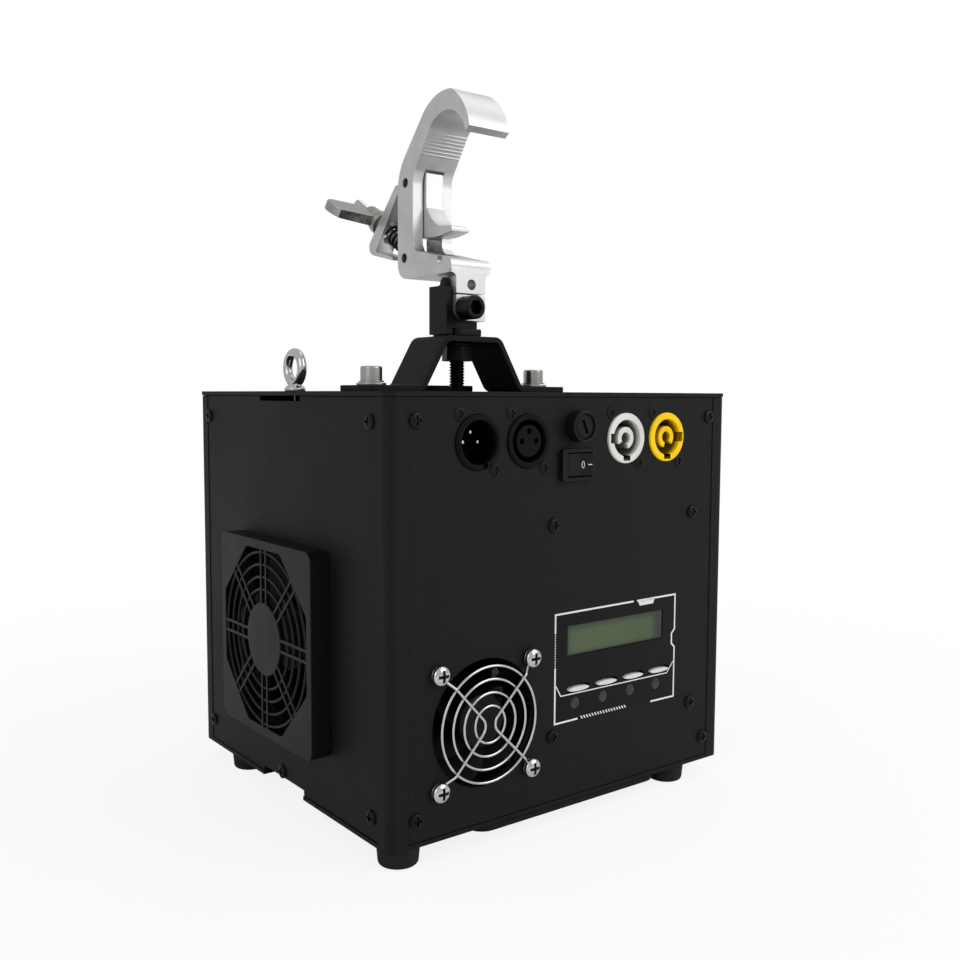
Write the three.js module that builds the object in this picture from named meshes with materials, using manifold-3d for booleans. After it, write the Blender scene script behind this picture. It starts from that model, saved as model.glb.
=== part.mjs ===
// Cold spark machine with a truss clamp: a standalone three.js model.
// Millimetres, +Z up. X runs along the connector panel, -Y is the connector panel's side.
import * as THREE from "three";
import { mergeVertices } from "three/addons/utils/BufferGeometryUtils.js";
import Module from "manifold-3d";

const wasm = await Module();
wasm.setup();

// General
const fit = 0.25; // gap left between neighbouring pieces
const overrun = 1; // how far a cutting tool runs past the face it cuts
const weld = 0.4; // how deep welded or moulded-on features sink into what carries them

// Case
const caseWidth = 204;
const caseDepth = 187.6;
const caseHeight = 189.4;
const baseThickness = 2;
const topThickness = 2;
const topOverhang = 0.4;
const panelThickness = 1.6;
const panelRecess = 0.3;
const cornerRadius = 4;
const postFace = 9.3; // face width of a corner post on each side
const postFlange = 19; // reach of the flange behind the panels
const postFlangeThickness = 2;

// Notches in the middle of both side panels' top and bottom edges
const notchLength = 41;
const notchY = 1.2;
const notchHeight = 2.2;
const notchDepth = 6; // how far the base is cut back under them

// Feet
const footHeight = 9;
const footTopRadius = 9.4;
const footBottomRadius = 8.6;
const footEdgeRadius = 1.4;
const footInsetLeft = 11; // feet's centres from the case's outer faces
const footInsetRight = 29;
const footInsetFront = 10.5;
const footInsetRear = 33.2;

// Discharge plate under the case
const dischargePlateWidth = 113;
const dischargePlateReach = 24.2; // behind the nozzle's axis
const dischargePlateThickness = 2.4;
const dischargePlateCorner = 8;

// Panel screws: their pattern, shared with the board behind the panel
const boardFanClearance = 8.2; // left screws beside the front fan
const boardRightShare = 0.3848; // right screws, as a share of the case's width
const boardLow = 32.2;
const boardDrop = 59.4; // upper screws below the case top

// Signal and power sockets, all on one body size
const socketDrop = 21.4; // centre line below the case top
const socketHoleRadius = 12.1;
const socketNoseRadius = 11.8;
const socketProud = 0.9;
const socketFlangeWidth = 26;
const socketFlangeHeight = 31;
const socketFlangeThickness = 2;
const socketBodyRadius = 11;
const socketBodyLength = 19;
const dmxInX = -57.2;
const dmxOutX = -29.5;
const powerOutX = 30.5;
const powerInX = 58.3;
const plugWellRadius = 9.4;
const plugWellDepth = 12;
const contactPitch = 4;
const contactRadius = 1.2;
const contactLength = 10;
const contactHoleRadius = 1.3;
const receptacleCoreRadius = 7;
const receptacleCoreRecess = 0.6;
const powerWellRadius = 8.5;
const powerWellDepth = 13;
const powerCoreRadius = 5.4;
const powerCoreBore = 3.4;
const powerCoreRecess = 1.2;
const powerCoreSlot = 2.6;
const powerKeyWidth = 3;
const powerKeyDepth = 2;

// Fuse holder
const fuseX = -1;
const fuseDrop = 15.4; // below the case top
const fuseHeadRadius = 7.1;
const fuseHeadProud = 6.2;
const fuseBodyRadius = 5.9;
const fuseBodyLength = 27;
const fusePanelClearance = 0.2;
const fuseCapWellDepth = 4.4;
const fuseCapRadius = 5.6;
const fuseCapRecess = 0.5;
const fuseStemRadius = 3.8;
const fuseStemLength = 9;
const fuseBoreRadius = 4.1;
const fuseSlotLength = 6.6;
const fuseSlotWidth = 1.3;
const fuseSlotDepth = 1.1;
const fuseSlotTurn = 0.6; // radians

// Rocker switch
const switchX = -1.2;
const switchDrop = 32.8; // below the case top
const switchBezelWidth = 20;
const switchBezelHeight = 14.5;
const switchBezelProud = 2.4;
const switchBezelRadius = 1;
const switchBodyWidth = 18;
const switchBodyHeight = 12.4;
const switchBodyDepth = 17;
const switchWellDepth = 10;
const switchPanelClearance = 0.2;
const rockerWidth = 14.8;
const rockerHeight = 10.2;
const rockerWellClearance = 0.4;
const rockerRimDepth = 2.4;
const rockerPivotDepth = 1.6; // pivot below the bezel's face
const rockerTilt = 0.12; // radians, half of the full throw
const rockerBackDepth = 5.4;
const rockerBackWidth = 9;

// Display, buttons and lamps
const windowLeft = -5;
const windowWidth = 63;
const windowLow = 68.3;
const windowHeight = 14.3;
const displayModuleMargin = 6;
const displayModuleDepth = 6;
const displayGlassRecess = 0.5;
const displayGlassClearance = 0.2;
const buttonFirstX = 1.9;
const buttonPitch = 18.05;
const buttonCount = 4;
const buttonZ = 52.3;
const buttonWidth = 14.5;
const buttonHeight = 3.2;
const buttonClearance = 0.2;
const buttonProud = 1.1;
const buttonFlangeWidth = 16.6;
const buttonFlangeHeight = 6.4;
const buttonFlangeThickness = 1.2;
const lampFirstX = 0.2;
const lampZ = 45.6;
const lampRadius = 2.9;
const lampClearance = 0.2;
const lampProud = 0.2;
const lampStripHeight = 5.6;
const lampStripThickness = 1.4;
const lampStripMargin = 4;

// Control board
const boardMargin = 5;
const boardThickness = 1.6;
const boardStandoffLength = 9;
const boardStandoffRadius = 2.6;
const boardChipWidth = 22;
const boardChipDepth = 5;
const boardChipHeight = 18;

// Front fan
const frontFanShare = 0.25686; // left of the middle, as a share of the case's width
const frontFanZ = 46.5;
const frontFanSize = 60;
const frontFanDepth = 20;
const frontFanBore = 28.2;
const frontFanScrewPitch = 50;
const frontFanHubRadius = 12;

// Side fan
const sideFanY = 0.4;
const sideFanZ = 73.5;
const sideFanSize = 92;
const sideFanDepth = 25;
const sideFanBore = 43;
const sideFanScrewPitch = 82.5;
const sideFanHubRadius = 17;

// What both fans share
const fanScrewRadius = 2.2;
const fanCornerRadius = 4;
const fanMotorSeatThickness = 2;
const fanStrutWidth = 4;
const fanRunningGap = 0.5;
const fanBladeCount = 7;
const fanBladeThickness = 1.6;
const fanBladeTilt = 0.7; // radians

// Wire guard of the front fan
const guardRingRadii = [8.4, 13.8, 19.6, 25.5];
const guardWireRadius = 0.95;
const guardStandOff = 4; // centre of the rings over the panel
const guardStayApex = 2.2;
const guardEyeRadius = 3.6;

// Moulded guard of the side fan
const grilleSize = 93;
const grilleDepth = 9.4;
const grilleCornerRadius = 5;
const grilleOpeningRadius = 42;
const grilleBarWidth = 1.3;
const grilleBarDepth = 2;
const grilleHubRadius = 17.2;
const grilleRingRadii = [23.4, 29.4, 35.3];
const grilleSpokePairs = 8;
const grilleSpokeGap = 5;

// Filler opening, lid and hopper
const lidWidth = 44;
const lidFront = 14.5;
const lidDepth = 45.5;
const lidThickness = 3.4;
const lidHingeRadius = 1.7;
const lidRim = 4; // lid's overlap over the opening's edge
const hopperWall = 1.2;
const hopperLipWidth = 5;
const hopperBoxShare = 0.2265; // heights as shares of the height inside the case
const hopperFunnelShare = 0.1187;
const hopperOutletWidth = 14;

// Feed: tube, screw and gear motor, one behind the other along Y
const feedTubeRadius = 12.5;
const feedTubeBore = 10;
const feedTubeFront = -10;
const feedInletSetback = 21; // inlet's centre before the tube's rear end
const feedInletWidth = 13;
const feedOutletRadius = 6;
const feedEndWall = 2;
const screwRadius = 9.4;
const screwFlightThickness = 3;
const screwTurns = 2.5;
const feedMotorRadius = 13;
const feedMotorLength = 30;
const feedMotorRearClearance = 5.4;
const feedMotorBracketWidth = 34;
const feedMotorBracketThickness = 2.5;

// Heating chamber, coil and nozzle on the axis under the clamp
const chamberRadius = 19;
const chamberBore = 9.5;
const coilWireRadius = 1.7;
const coilTurns = 3;
const coilPitch = 6;
const coilDuctClearance = 3;
const coilClearance = 0.7;
const nozzleRadius = 14;
const nozzleBore = 8;
const nozzleShare = 0.162; // length as a share of the height inside the case
const nozzleClearance = 0.6;
const nozzleFlangeRadius = 20;
const nozzleFlangeThickness = 2.5;

// Blower beside the chamber
const blowerX = 44;
const blowerHeightShare = 0.27;
const blowerRadius = 26;
const blowerWidth = 20;
const blowerWall = 2;
const blowerInletRadius = 14;
const blowerDuctWidth = 14;
const blowerWheelRadius = 20;
const blowerWheelWidth = 13;
const blowerHubRadius = 6;
const blowerBladeCount = 8;
const blowerFootWidth = 30;

// Power supply
const supplyWidth = 52;
const supplyHeight = 98;
const supplySideClearance = 8.1;
const supplyRearClearance = 4.9;
const supplyFrontClearance = 11; // behind the blower
const supplyFinCount = 5;
const supplyFinWidth = 3;
const supplyFinHeight = 6;

// Hanging strap on top of the case
const strapWidth = 30;
const strapThickness = 3;
const strapRise = 28.6; // outer top over the case top
const strapTopLength = 33.4;
const strapFootSpread = 62.4; // between the two foot bends
const strapLength = 123;
const strapBendRadius = 4;
const strapBoltX = 52.3;
const strapBoltHeadRadius = 5.4;
const strapBoltHeadHeight = 7.5;
const strapBoltSocketRadius = 2.9;
const strapBoltSocketDepth = 4;
const strapBoltShankRadius = 3.9;
const strapBoltShankClearance = 0.4;
const strapBoltReach = 12;
const strapWasherRadius = 7.4;
const strapWasherThickness = 1.6;

// Swivel bolt through the strap
const swivelBoltRadius = 4.1;
const swivelHoleClearance = 0.5;
const swivelCollarFlat = 11.9; // half of the width across flats
const swivelCollarHeight = 3.6;
const swivelNutFlat = 7;
const swivelNutHeight = 8;
const swivelWasherRadius = 8.4;
const swivelWasherThickness = 1.2;
const swivelBoltTail = 14.4; // thread left under the nut

// Yoke between the swivel bolt and the clamp
const yokeLeft = -13.4;
const yokeRight = 6;
const yokeFront = -9.3;
const yokeBack = 6.1;
const yokeBaseThickness = 3.6;
const yokeLegThickness = 3.8;
const yokeLegHeight = 25;
const yokeLegDrop = 3.1; // leg's reach below the base
const yokeLegStep = 2.4; // how much lower the leg ends than the back
const yokeFillet = 6;
const yokeBoltX = -4.3;
const yokeBoltRise = 9.9; // above the underside of the base
const yokeBoltRadius = 4;
const yokeBoltClearance = 0.4;
const yokeBoltHeadRadius = 6;
const yokeBoltHeadLength = 10;
const yokeBoltSocketRadius = 3.4;
const yokeBoltSocketDepth = 5;

// Clamp body: outline in Y and height over the underside of its arm
const clampWidth = 25;
const clampRise = 24.1; // arm's underside over the top of the yoke's base
const armNose = -12;
const armNoseHeight = 7.4;
const armNoseRadius = 3.4;
const armFloorRise = 5.6; // how much higher the floor is at the spine
const armFillet = 7;
const spineFront = 22.5;
const spineBack = 37.2;
const spineFootRadius = 8;
const spineTop = 56.7;
const spineBend = 10.6; // length of its bend on each side of the corner
const gripEndHeight = 53.2;
const gripBend = 4.5;
const hookCentreY = -6.2;
const hookCentreZ = 62.4;
const hookInnerRadius = 18;
const hookOuterRadius = 28.2;
const hookOuterTurn = 0.8; // radians above +Y where the straight back starts
const hookInnerTurn = 0.64; // radians above +Y where the grip starts
const hookLipTurn = 2.89; // radians where the inner arc ends
const hookApexTurn = 1.76; // radians where the outer arc ends
const hookLipThickness = 3.2;
const hookLipRise = 2.3;
const hookLipBulge = 5.2; // how far its outer curve stands off a straight line, in Y
const hookLipBulgeRise = 2.8; // and in Z
const tongueWidth = 18.4;
const tongueBack = 2;
const tongueFillet = 3;
const tongueCornerRadius = 6.4;
const slitHeight = 12.9; // over the underside of the tongue
const slitWidth = 0.7;
const slitDepth = 9;
const pinchHoleRadius = 2.3;
const pinchHoleHeight = 18.1;
const pinchHoleDepth = 6;
const slotWidth = 12.5;
const slotFront = 4.5;
const slotFloor = 4.4;
const slotTop = 56.6;

// Jaw, trigger plate and their pins
const pinRadius = 2.3;
const pinClearance = 0.25;
const jawPinY = 29.9;
const jawPinZ = 50.4;
const jawWidth = 11.5;
const jawEyeRadius = 4.4;
const jawFaceY = 20.3;
const jawFaceTop = 55.2;
const jawFaceLow = 38.2;
const jawSaddleY = 8.1;
const jawSaddleZ = 27.3;
const jawSaddleRise = 2.4;
const jawSaddleShare = 0.615; // where the saddle's curve bends, from its front to the grip
const jawLedgeY = -3.2;
const jawLedgeZ = 25.3;
const jawLedgeThickness = 3.9;
const jawLedgeChamfer = 1.3;
const jawLegBack = 27;
const jawLegFoot = 17;
const jawBellyZ = 21.2;
const jawBack = 33.8;
const jawBackLow = 28;
const triggerWidth = 11.5;
const triggerTopReach = 50.4; // Y of its upper corner
const triggerTopZ = 53;
const triggerRootThickness = 3.4;
const triggerInnerSetback = 3.6; // inner corner behind the upper corner
const triggerLowReach = 77.6; // Y of its outer face's lower end
const triggerLowZ = 24.8;
const triggerBendReach = 79.4; // corner that its lower bend rounds
const triggerBendZ = 19;
const triggerTailStart = 73.5;
const triggerTailTop = 19.4;
const triggerTailSetback = 2.9; // inner bend behind the tail's start
const triggerTailEnd = 53;
const triggerTailZ = 12.6;
const triggerTailThickness = 2;
const triggerSlotWidth = 7.2;
const triggerSlotLength = 14;

// Swing stud with its spring, washer and wing nut, along one tilted axis
const studPinY = 31;
const studPinZ = 11.1;
const studTilt = Math.PI / 6;
const studRadius = 3;
const studEyeRadius = 4.6;
const studEyeWidth = 10;
const studLength = 79.4;
const studCollarRadius = 5.8;
const studCollarStart = 9;
const studCollarLength = 2;
const springRadius = 4.9;
const springWireRadius = 0.8;
const springLength = 22.6;
const springTurns = 5;
const studWasherStart = 46.7;
const studWasherRadius = 7;
const studWasherThickness = 1.6;
const nutLength = 15;
const nutFootRadius = 7;
const nutHeadRadius = 5.2;
const nutFootLength = 3;
const nutBoreClearance = 0.3;
const wingSpan = 59;
const wingThickness = 3.6;
const wingRootLow = 2.6;
const wingRootHigh = 12.6;
const wingTipLow = 13.5;
const wingTipHigh = 22;
const wingTipRadius = 3.6;
const nutTurn = 0.1; // radians from level at rest

// Safety eye bolt
const eyeInsetSide = 40;
const eyeInsetRear = 31.8;
const eyeRingRadius = 8.1;
const eyeWireRadius = 2.4;
const eyeCollarRadius = 5.6;
const eyeCollarHeight = 3;
const eyeShankRadius = 3;
const eyeShankLength = 14;
const eyeHoleClearance = 0.4;

// How far a bent strip's corner may be drawn out: the least share of its thickness kept
const leastMitreShare = 0.2;

// How round things are cut into faces
const fine = 32;
const medium = 20;
const coarse = 12;
const cornerSteps = 3;
const grilleSegments = 24;

// Places worked out from the sizes above
const panelSeat = panelRecess + panelThickness + fit;
const frontFace = -caseDepth / 2 + panelRecess;
const frontBack = frontFace + panelThickness;
const leftFace = -caseWidth / 2 + panelRecess;
const leftBack = leftFace + panelThickness;
const sideInner = -leftBack;
const rearInner = -frontBack;
const topLow = caseHeight - topThickness;
const innerHeight = topLow - baseThickness;
const footLeft = -caseWidth / 2 + footInsetLeft;
const footRight = caseWidth / 2 - footInsetRight;
const footFront = -caseDepth / 2 + footInsetFront;
const footRear = caseDepth / 2 - footInsetRear;
const frontFanX = -frontFanShare * caseWidth;
const boardLeft = frontFanX + frontFanSize / 2 + boardFanClearance;
const boardRight = boardRightShare * caseWidth;
const boardHigh = caseHeight - boardDrop;
const socketHeight = caseHeight - socketDrop;
const fuseZ = caseHeight - fuseDrop;
const switchZ = caseHeight - switchDrop;
const strapTop = caseHeight + strapRise;
const yokeBase = strapTop + fit + swivelCollarHeight + fit;
const tongueLow = yokeBase + yokeBaseThickness + fit;
const clampBase = yokeBase + yokeBaseThickness + clampRise;
const lidHingeY = lidFront + lidDepth;
const hopperTop = topLow - fit;
const funnelTop = hopperTop - hopperBoxShare * innerHeight;
const hopperOutletLow = funnelTop - hopperFunnelShare * innerHeight;
const feedHeight = hopperOutletLow - fit - feedTubeRadius;
const feedTubeRear = rearInner - feedMotorRearClearance - feedMotorLength - 2 * fit;
const feedInletY = feedTubeRear - feedInletSetback;
const nozzleTop = baseThickness + nozzleShare * innerHeight;
const chamberLow = nozzleTop + fit;
const chamberTop = feedHeight - feedTubeRadius - fit;
const blowerZ = baseThickness + blowerHeightShare * innerHeight;
const supplyX = sideInner - supplySideClearance - supplyWidth / 2;
const supplyDepth = rearInner - supplyRearClearance - blowerRadius - supplyFrontClearance;
const supplyY = rearInner - supplyRearClearance - supplyDepth / 2;
const eyeX = -caseWidth / 2 + eyeInsetSide;
const eyeY = caseDepth / 2 - eyeInsetRear;
const coilRadius = chamberRadius + coilClearance + coilWireRadius;
const coilLow = blowerZ + blowerDuctWidth / 2 + coilDuctClearance + coilWireRadius;

// Materials
function finish(color, roughness, metalness) {
  return new THREE.MeshStandardMaterial({ color, roughness, metalness });
}
const powderCoat = finish(0x1f1f21, 0.62, 0.1);
const blackPlastic = finish(0x171718, 0.5, 0);
const blackSteel = finish(0x1a1a1b, 0.4, 0.6);
const rubber = finish(0x101010, 0.85, 0);
const aluminium = finish(0xc4c6c8, 0.34, 1);
const brightSteel = finish(0xc9c8c4, 0.22, 1);
const zincSteel = finish(0xaaa79f, 0.35, 1);
const whitePlastic = finish(0xdcdcd8, 0.4, 0);
const yellowPlastic = finish(0xffd500, 0.4, 0);
const lcdGlass = finish(0x52624f, 0.15, 0);
const lampGlass = finish(0x33393b, 0.2, 0);
const boardGreen = finish(0x1e5c34, 0.5, 0);
const copper = finish(0xb56a3c, 0.3, 1);
const castIron = finish(0x5a5552, 0.6, 0.8);
const stainless = finish(0x9a9b9c, 0.3, 1);

// Solids
function closed(geometry) {
  const bare = geometry.index ? geometry.toNonIndexed() : geometry.clone();
  bare.deleteAttribute("normal");
  bare.deleteAttribute("uv");
  return mergeVertices(bare);
}

function toSolid(geometry) {
  const bare = closed(geometry);
  const triVerts = Uint32Array.from(bare.index.array);
  const vertProperties = Float32Array.from(bare.attributes.position.array);
  return new wasm.Manifold(new wasm.Mesh({ numProp: 3, vertProperties, triVerts }));
}

function toGeometry(manifold) {
  const mesh = manifold.getMesh();
  const geometry = new THREE.BufferGeometry();
  geometry.setAttribute("position", new THREE.BufferAttribute(mesh.vertProperties, 3));
  geometry.setIndex(new THREE.BufferAttribute(mesh.triVerts, 1));
  geometry.computeVertexNormals();
  return geometry;
}

function join(first, ...rest) {
  return toGeometry(rest.reduce((sum, next) => sum.add(toSolid(next)), toSolid(first)));
}

function cut(first, ...tools) {
  return toGeometry(tools.reduce((rest, tool) => rest.subtract(toSolid(tool)), toSolid(first)));
}

// Shapes in a plane
function rectangle(left, low, right, high) {
  const shape = new THREE.Shape();
  shape.moveTo(left, low).lineTo(right, low).lineTo(right, high).lineTo(left, high).closePath();
  return shape;
}

function centred(x, y, width, height) {
  return rectangle(x - width / 2, y - height / 2, x + width / 2, y + height / 2);
}

function rounded(x, y, width, height, radius) {
  const left = x - width / 2;
  const right = x + width / 2;
  const low = y - height / 2;
  const high = y + height / 2;
  const shape = new THREE.Shape();
  shape.absarc(right - radius, high - radius, radius, 0, Math.PI / 2, false);
  shape.absarc(left + radius, high - radius, radius, Math.PI / 2, Math.PI, false);
  shape.absarc(left + radius, low + radius, radius, Math.PI, Math.PI * 1.5, false);
  shape.absarc(right - radius, low + radius, radius, Math.PI * 1.5, Math.PI * 2, false);
  return shape;
}

function circle(x, y, radius) {
  return new THREE.Shape().absarc(x, y, radius, 0, Math.PI * 2, false);
}

function ellipse(x, y, width, height) {
  return new THREE.Shape().absellipse(x, y, width / 2, height / 2, 0, Math.PI * 2, false);
}

function hexagon(flat) {
  const corner = flat / Math.cos(Math.PI / 6);
  const points = [];
  for (let side = 0; side < 6; side += 1) {
    const turn = (side * Math.PI) / 3;
    points.push(new THREE.Vector2(corner * Math.cos(turn), corner * Math.sin(turn)));
  }
  return new THREE.Shape(points);
}

// Plates cut from a shape: lying flat, facing the front, or facing the side
function flatPlate(shape, low, high, curveSegments = cornerSteps) {
  const options = { depth: high - low, bevelEnabled: false, curveSegments };
  return new THREE.ExtrudeGeometry(shape, options).translate(0, 0, low);
}

function frontPlate(shape, front, back, curveSegments = cornerSteps) {
  const options = { depth: back - front, bevelEnabled: false, curveSegments };
  return new THREE.ExtrudeGeometry(shape, options).rotateX(Math.PI / 2).translate(0, back, 0);
}

const sideways = new THREE.Matrix4().makeBasis(
  new THREE.Vector3(0, 1, 0),
  new THREE.Vector3(0, 0, 1),
  new THREE.Vector3(1, 0, 0),
);

function sidePlate(shape, left, right, curveSegments = cornerSteps) {
  const options = { depth: right - left, bevelEnabled: false, curveSegments };
  return new THREE.ExtrudeGeometry(shape, options).applyMatrix4(sideways).translate(left, 0, 0);
}

function block(left, right, front, back, low, high) {
  return flatPlate(rectangle(left, front, right, back), low, high);
}

// Turned solids: pairs of radius and place along the axis, in order from one end to the other
function turned(profile, segments) {
  const points = profile.map(([radius, place]) => new THREE.Vector2(radius, place));
  return new THREE.LatheGeometry(points, segments).rotateX(Math.PI / 2);
}

function upright(profile, x, y, segments = medium) {
  return turned(profile, segments).translate(x, y, 0);
}

// The same along Y: places are read as Y, growing towards the back
function alongY(profile, x, z, segments = medium) {
  return turned(profile, segments).rotateX(-Math.PI / 2).translate(x, 0, z);
}

function alongX(profile, y, z, segments = medium) {
  return turned(profile, segments).applyMatrix4(sideways).translate(0, y, z);
}

function rod(radius, start, end) {
  return [[0, start], [radius, start], [radius, end], [0, end]];
}

function pipe(radius, bore, start, end) {
  return [[bore, start], [radius, start], [radius, end], [bore, end], [bore, start]];
}

// A round wire along a curve
function wire(curve, radius, steps, sides = 8) {
  const section = new THREE.Shape();
  for (let side = 0; side < sides; side += 1) {
    const turn = (side * 2 * Math.PI) / sides;
    const x = radius * Math.cos(turn);
    const y = radius * Math.sin(turn);
    if (side === 0) section.moveTo(x, y);
    else section.lineTo(x, y);
  }
  section.closePath();
  return new THREE.ExtrudeGeometry(section, { steps, extrudePath: curve, bevelEnabled: false });
}

class Helix extends THREE.Curve {
  constructor(radius, length, turns) {
    super();
    this.radius = radius;
    this.length = length;
    this.turns = turns;
  }

  getPoint(share, target = new THREE.Vector3()) {
    const turn = share * this.turns * 2 * Math.PI;
    const x = this.radius * Math.cos(turn);
    const y = this.radius * Math.sin(turn);
    return target.set(x, y, share * this.length);
  }
}

const machine = new THREE.Group();

// Faces point outwards whatever way the shape was drawn
function facingOut(geometry) {
  const solid = toSolid(geometry);
  if (solid.volume() > 0) return closed(geometry);
  const bare = closed(geometry);
  const index = bare.index.array;
  for (let i = 0; i < index.length; i += 3) [index[i], index[i + 1]] = [index[i + 1], index[i]];
  return bare;
}

function place(name, geometry, material, group = machine) {
  const ready = facingOut(geometry);
  ready.computeVertexNormals();
  const mesh = new THREE.Mesh(ready, material);
  mesh.name = name;
  group.add(mesh);
  return mesh;
}

// Case
function postShape(toRight, toBack) {
  const signX = toRight ? -1 : 1;
  const signY = toBack ? -1 : 1;
  const cornerX = (-signX * caseWidth) / 2;
  const cornerY = (-signY * caseDepth) / 2;
  const inner = panelSeat + postFlangeThickness;
  const outline = [[postFace, 0], [postFace, panelSeat], [postFlange, panelSeat]];
  outline.push([postFlange, inner]);
  outline.push([inner, inner], [inner, postFlange], [panelSeat, postFlange]);
  outline.push([panelSeat, postFace], [0, postFace]);
  const steps = 4;
  for (let step = 0; step <= steps; step += 1) {
    const turn = Math.PI + (step * Math.PI) / (2 * steps);
    const u = cornerRadius + cornerRadius * Math.cos(turn);
    const v = cornerRadius + cornerRadius * Math.sin(turn);
    outline.push([u, v]);
  }
  const points = outline.map(([u, v]) => {
    return new THREE.Vector2(cornerX + signX * u, cornerY + signY * v);
  });
  return new THREE.Shape(points);
}

function chassis() {
  const plan = rounded(0, 0, caseWidth, caseDepth, cornerRadius);
  const posts = [];
  for (const toRight of [false, true]) {
    for (const toBack of [false, true]) {
      posts.push(flatPlate(postShape(toRight, toBack), baseThickness - weld, topLow - fit));
    }
  }
  const hole = rod(nozzleRadius + nozzleClearance, -overrun, baseThickness + overrun);
  const tools = [upright(hole, 0, 0)];
  for (const side of [-1, 1]) {
    const notch = centred((side * caseWidth) / 2, notchY, 2 * notchDepth, notchLength);
    tools.push(flatPlate(notch, -overrun, baseThickness + overrun));
  }
  return cut(join(flatPlate(plan, 0, baseThickness), ...posts), ...tools);
}

function topPlate() {
  const width = caseWidth + 2 * topOverhang;
  const depth = caseDepth + 2 * topOverhang;
  const plan = rounded(0, 0, width, depth, cornerRadius + topOverhang);
  const openingWidth = lidWidth - 2 * lidRim;
  const openingDepth = lidDepth - 2 * lidRim;
  plan.holes.push(centred(0, lidFront + lidDepth / 2, openingWidth, openingDepth));
  const holes = [[eyeX, eyeY, eyeShankRadius + eyeHoleClearance]];
  for (const side of [-1, 1]) {
    holes.push([side * strapBoltX, 0, strapBoltShankRadius + strapBoltShankClearance]);
  }
  const tools = holes.map(([x, y, radius]) => {
    return upright(rod(radius, topLow - overrun, caseHeight + overrun), x, y, coarse);
  });
  return cut(flatPlate(plan, topLow, caseHeight), ...tools);
}

const panelLow = baseThickness + fit;
const panelHigh = topLow - fit;
const panelMiddle = (panelLow + panelHigh) / 2;
const panelRun = panelHigh - panelLow;
const frontPanelWidth = caseWidth - 2 * (postFace + fit);
const sidePanelWidth = caseDepth - 2 * (postFace + fit);

function frontPanel() {
  const plan = centred(0, panelMiddle, frontPanelWidth, panelRun);
  const switchWidth = switchBodyWidth + 2 * switchPanelClearance;
  const switchHeight = switchBodyHeight + 2 * switchPanelClearance;
  plan.holes.push(centred(switchX, switchZ, switchWidth, switchHeight));
  const windowMiddle = windowLow + windowHeight / 2;
  plan.holes.push(centred(windowLeft + windowWidth / 2, windowMiddle, windowWidth, windowHeight));
  for (let button = 0; button < buttonCount; button += 1) {
    const width = buttonWidth + 2 * buttonClearance;
    const height = buttonHeight + 2 * buttonClearance;
    plan.holes.push(ellipse(buttonFirstX + button * buttonPitch, buttonZ, width, height));
  }
  const sockets = [dmxInX, dmxOutX, powerOutX, powerInX];
  const holes = sockets.map((x) => [x, socketHeight, socketHoleRadius, medium]);
  holes.push([fuseX, fuseZ, fuseBodyRadius + fusePanelClearance, medium]);
  holes.push([frontFanX, frontFanZ, frontFanBore, fine]);
  for (let lamp = 0; lamp < buttonCount; lamp += 1) {
    holes.push([lampFirstX + lamp * buttonPitch, lampZ, lampRadius + lampClearance, coarse]);
  }
  const tools = holes.map(([x, z, radius, segments]) => {
    return alongY(rod(radius, frontFace - overrun, frontBack + overrun), x, z, segments);
  });
  return cut(frontPlate(plan, frontFace, frontBack, 6), ...tools);
}

function sidePanel(left, withFan) {
  const plan = centred(0, panelMiddle, sidePanelWidth, panelRun);
  const right = left + panelThickness;
  const tools = [panelLow, panelHigh].map((edge) => {
    const notch = centred(notchY, edge, notchLength, 2 * notchHeight);
    return sidePlate(notch, left - overrun, right + overrun);
  });
  const hole = rod(sideFanBore, left - overrun, right + overrun);
  if (withFan) tools.push(alongX(hole, sideFanY, sideFanZ, fine));
  return cut(sidePlate(plan, left, right), ...tools);
}

function rearPanel() {
  const plan = centred(0, panelMiddle, frontPanelWidth, panelRun);
  return frontPlate(plan, -frontBack, -frontFace);
}

function foot(x, y) {
  const edge = -footHeight + footEdgeRadius;
  const profile = [[0, -footHeight], [footBottomRadius - footEdgeRadius, -footHeight]];
  profile.push([footBottomRadius, edge], [footTopRadius, -fit], [0, -fit]);
  return upright(profile, x, y);
}

function dischargePlate() {
  const depth = caseDepth / 2 + dischargePlateReach;
  const middle = (dischargePlateReach - caseDepth / 2) / 2;
  const shape = rounded(0, middle, dischargePlateWidth, depth, dischargePlateCorner);
  const low = -fit - dischargePlateThickness;
  const hole = rod(nozzleRadius + nozzleClearance, low - overrun, overrun);
  return cut(flatPlate(shape, low, -fit), upright(hole, 0, 0));
}

function buildCase() {
  place("chassis_frame", chassis(), powderCoat);
  place("top_plate", topPlate(), powderCoat);
  place("front_panel", frontPanel(), powderCoat);
  place("rear_panel", rearPanel(), powderCoat);
  place("left_panel", sidePanel(leftFace, true), powderCoat);
  place("right_panel", sidePanel(-leftBack, false), powderCoat);
  place("discharge_plate", dischargePlate(), powderCoat);
  place("foot_front_left", foot(footLeft, footFront), rubber);
  place("foot_front_right", foot(footRight, footFront), rubber);
  place("foot_rear_left", foot(footLeft, footRear), rubber);
  place("foot_rear_right", foot(footRight, footRear), rubber);
}

// Sockets: the nose stands in the panel's hole and the flange lies behind the panel
const flangeFront = frontBack + fit;
const noseFace = frontFace - socketProud;

function socketShell(x) {
  const back = flangeFront + socketFlangeThickness;
  const plate = centred(x, socketHeight, socketFlangeWidth, socketFlangeHeight);
  const flange = frontPlate(plate, flangeFront, back);
  const nose = alongY(rod(socketNoseRadius, noseFace, flangeFront + weld), x, socketHeight);
  const body = alongY(rod(socketBodyRadius, back - weld, back + socketBodyLength), x, socketHeight);
  return join(nose, flange, body);
}

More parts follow.
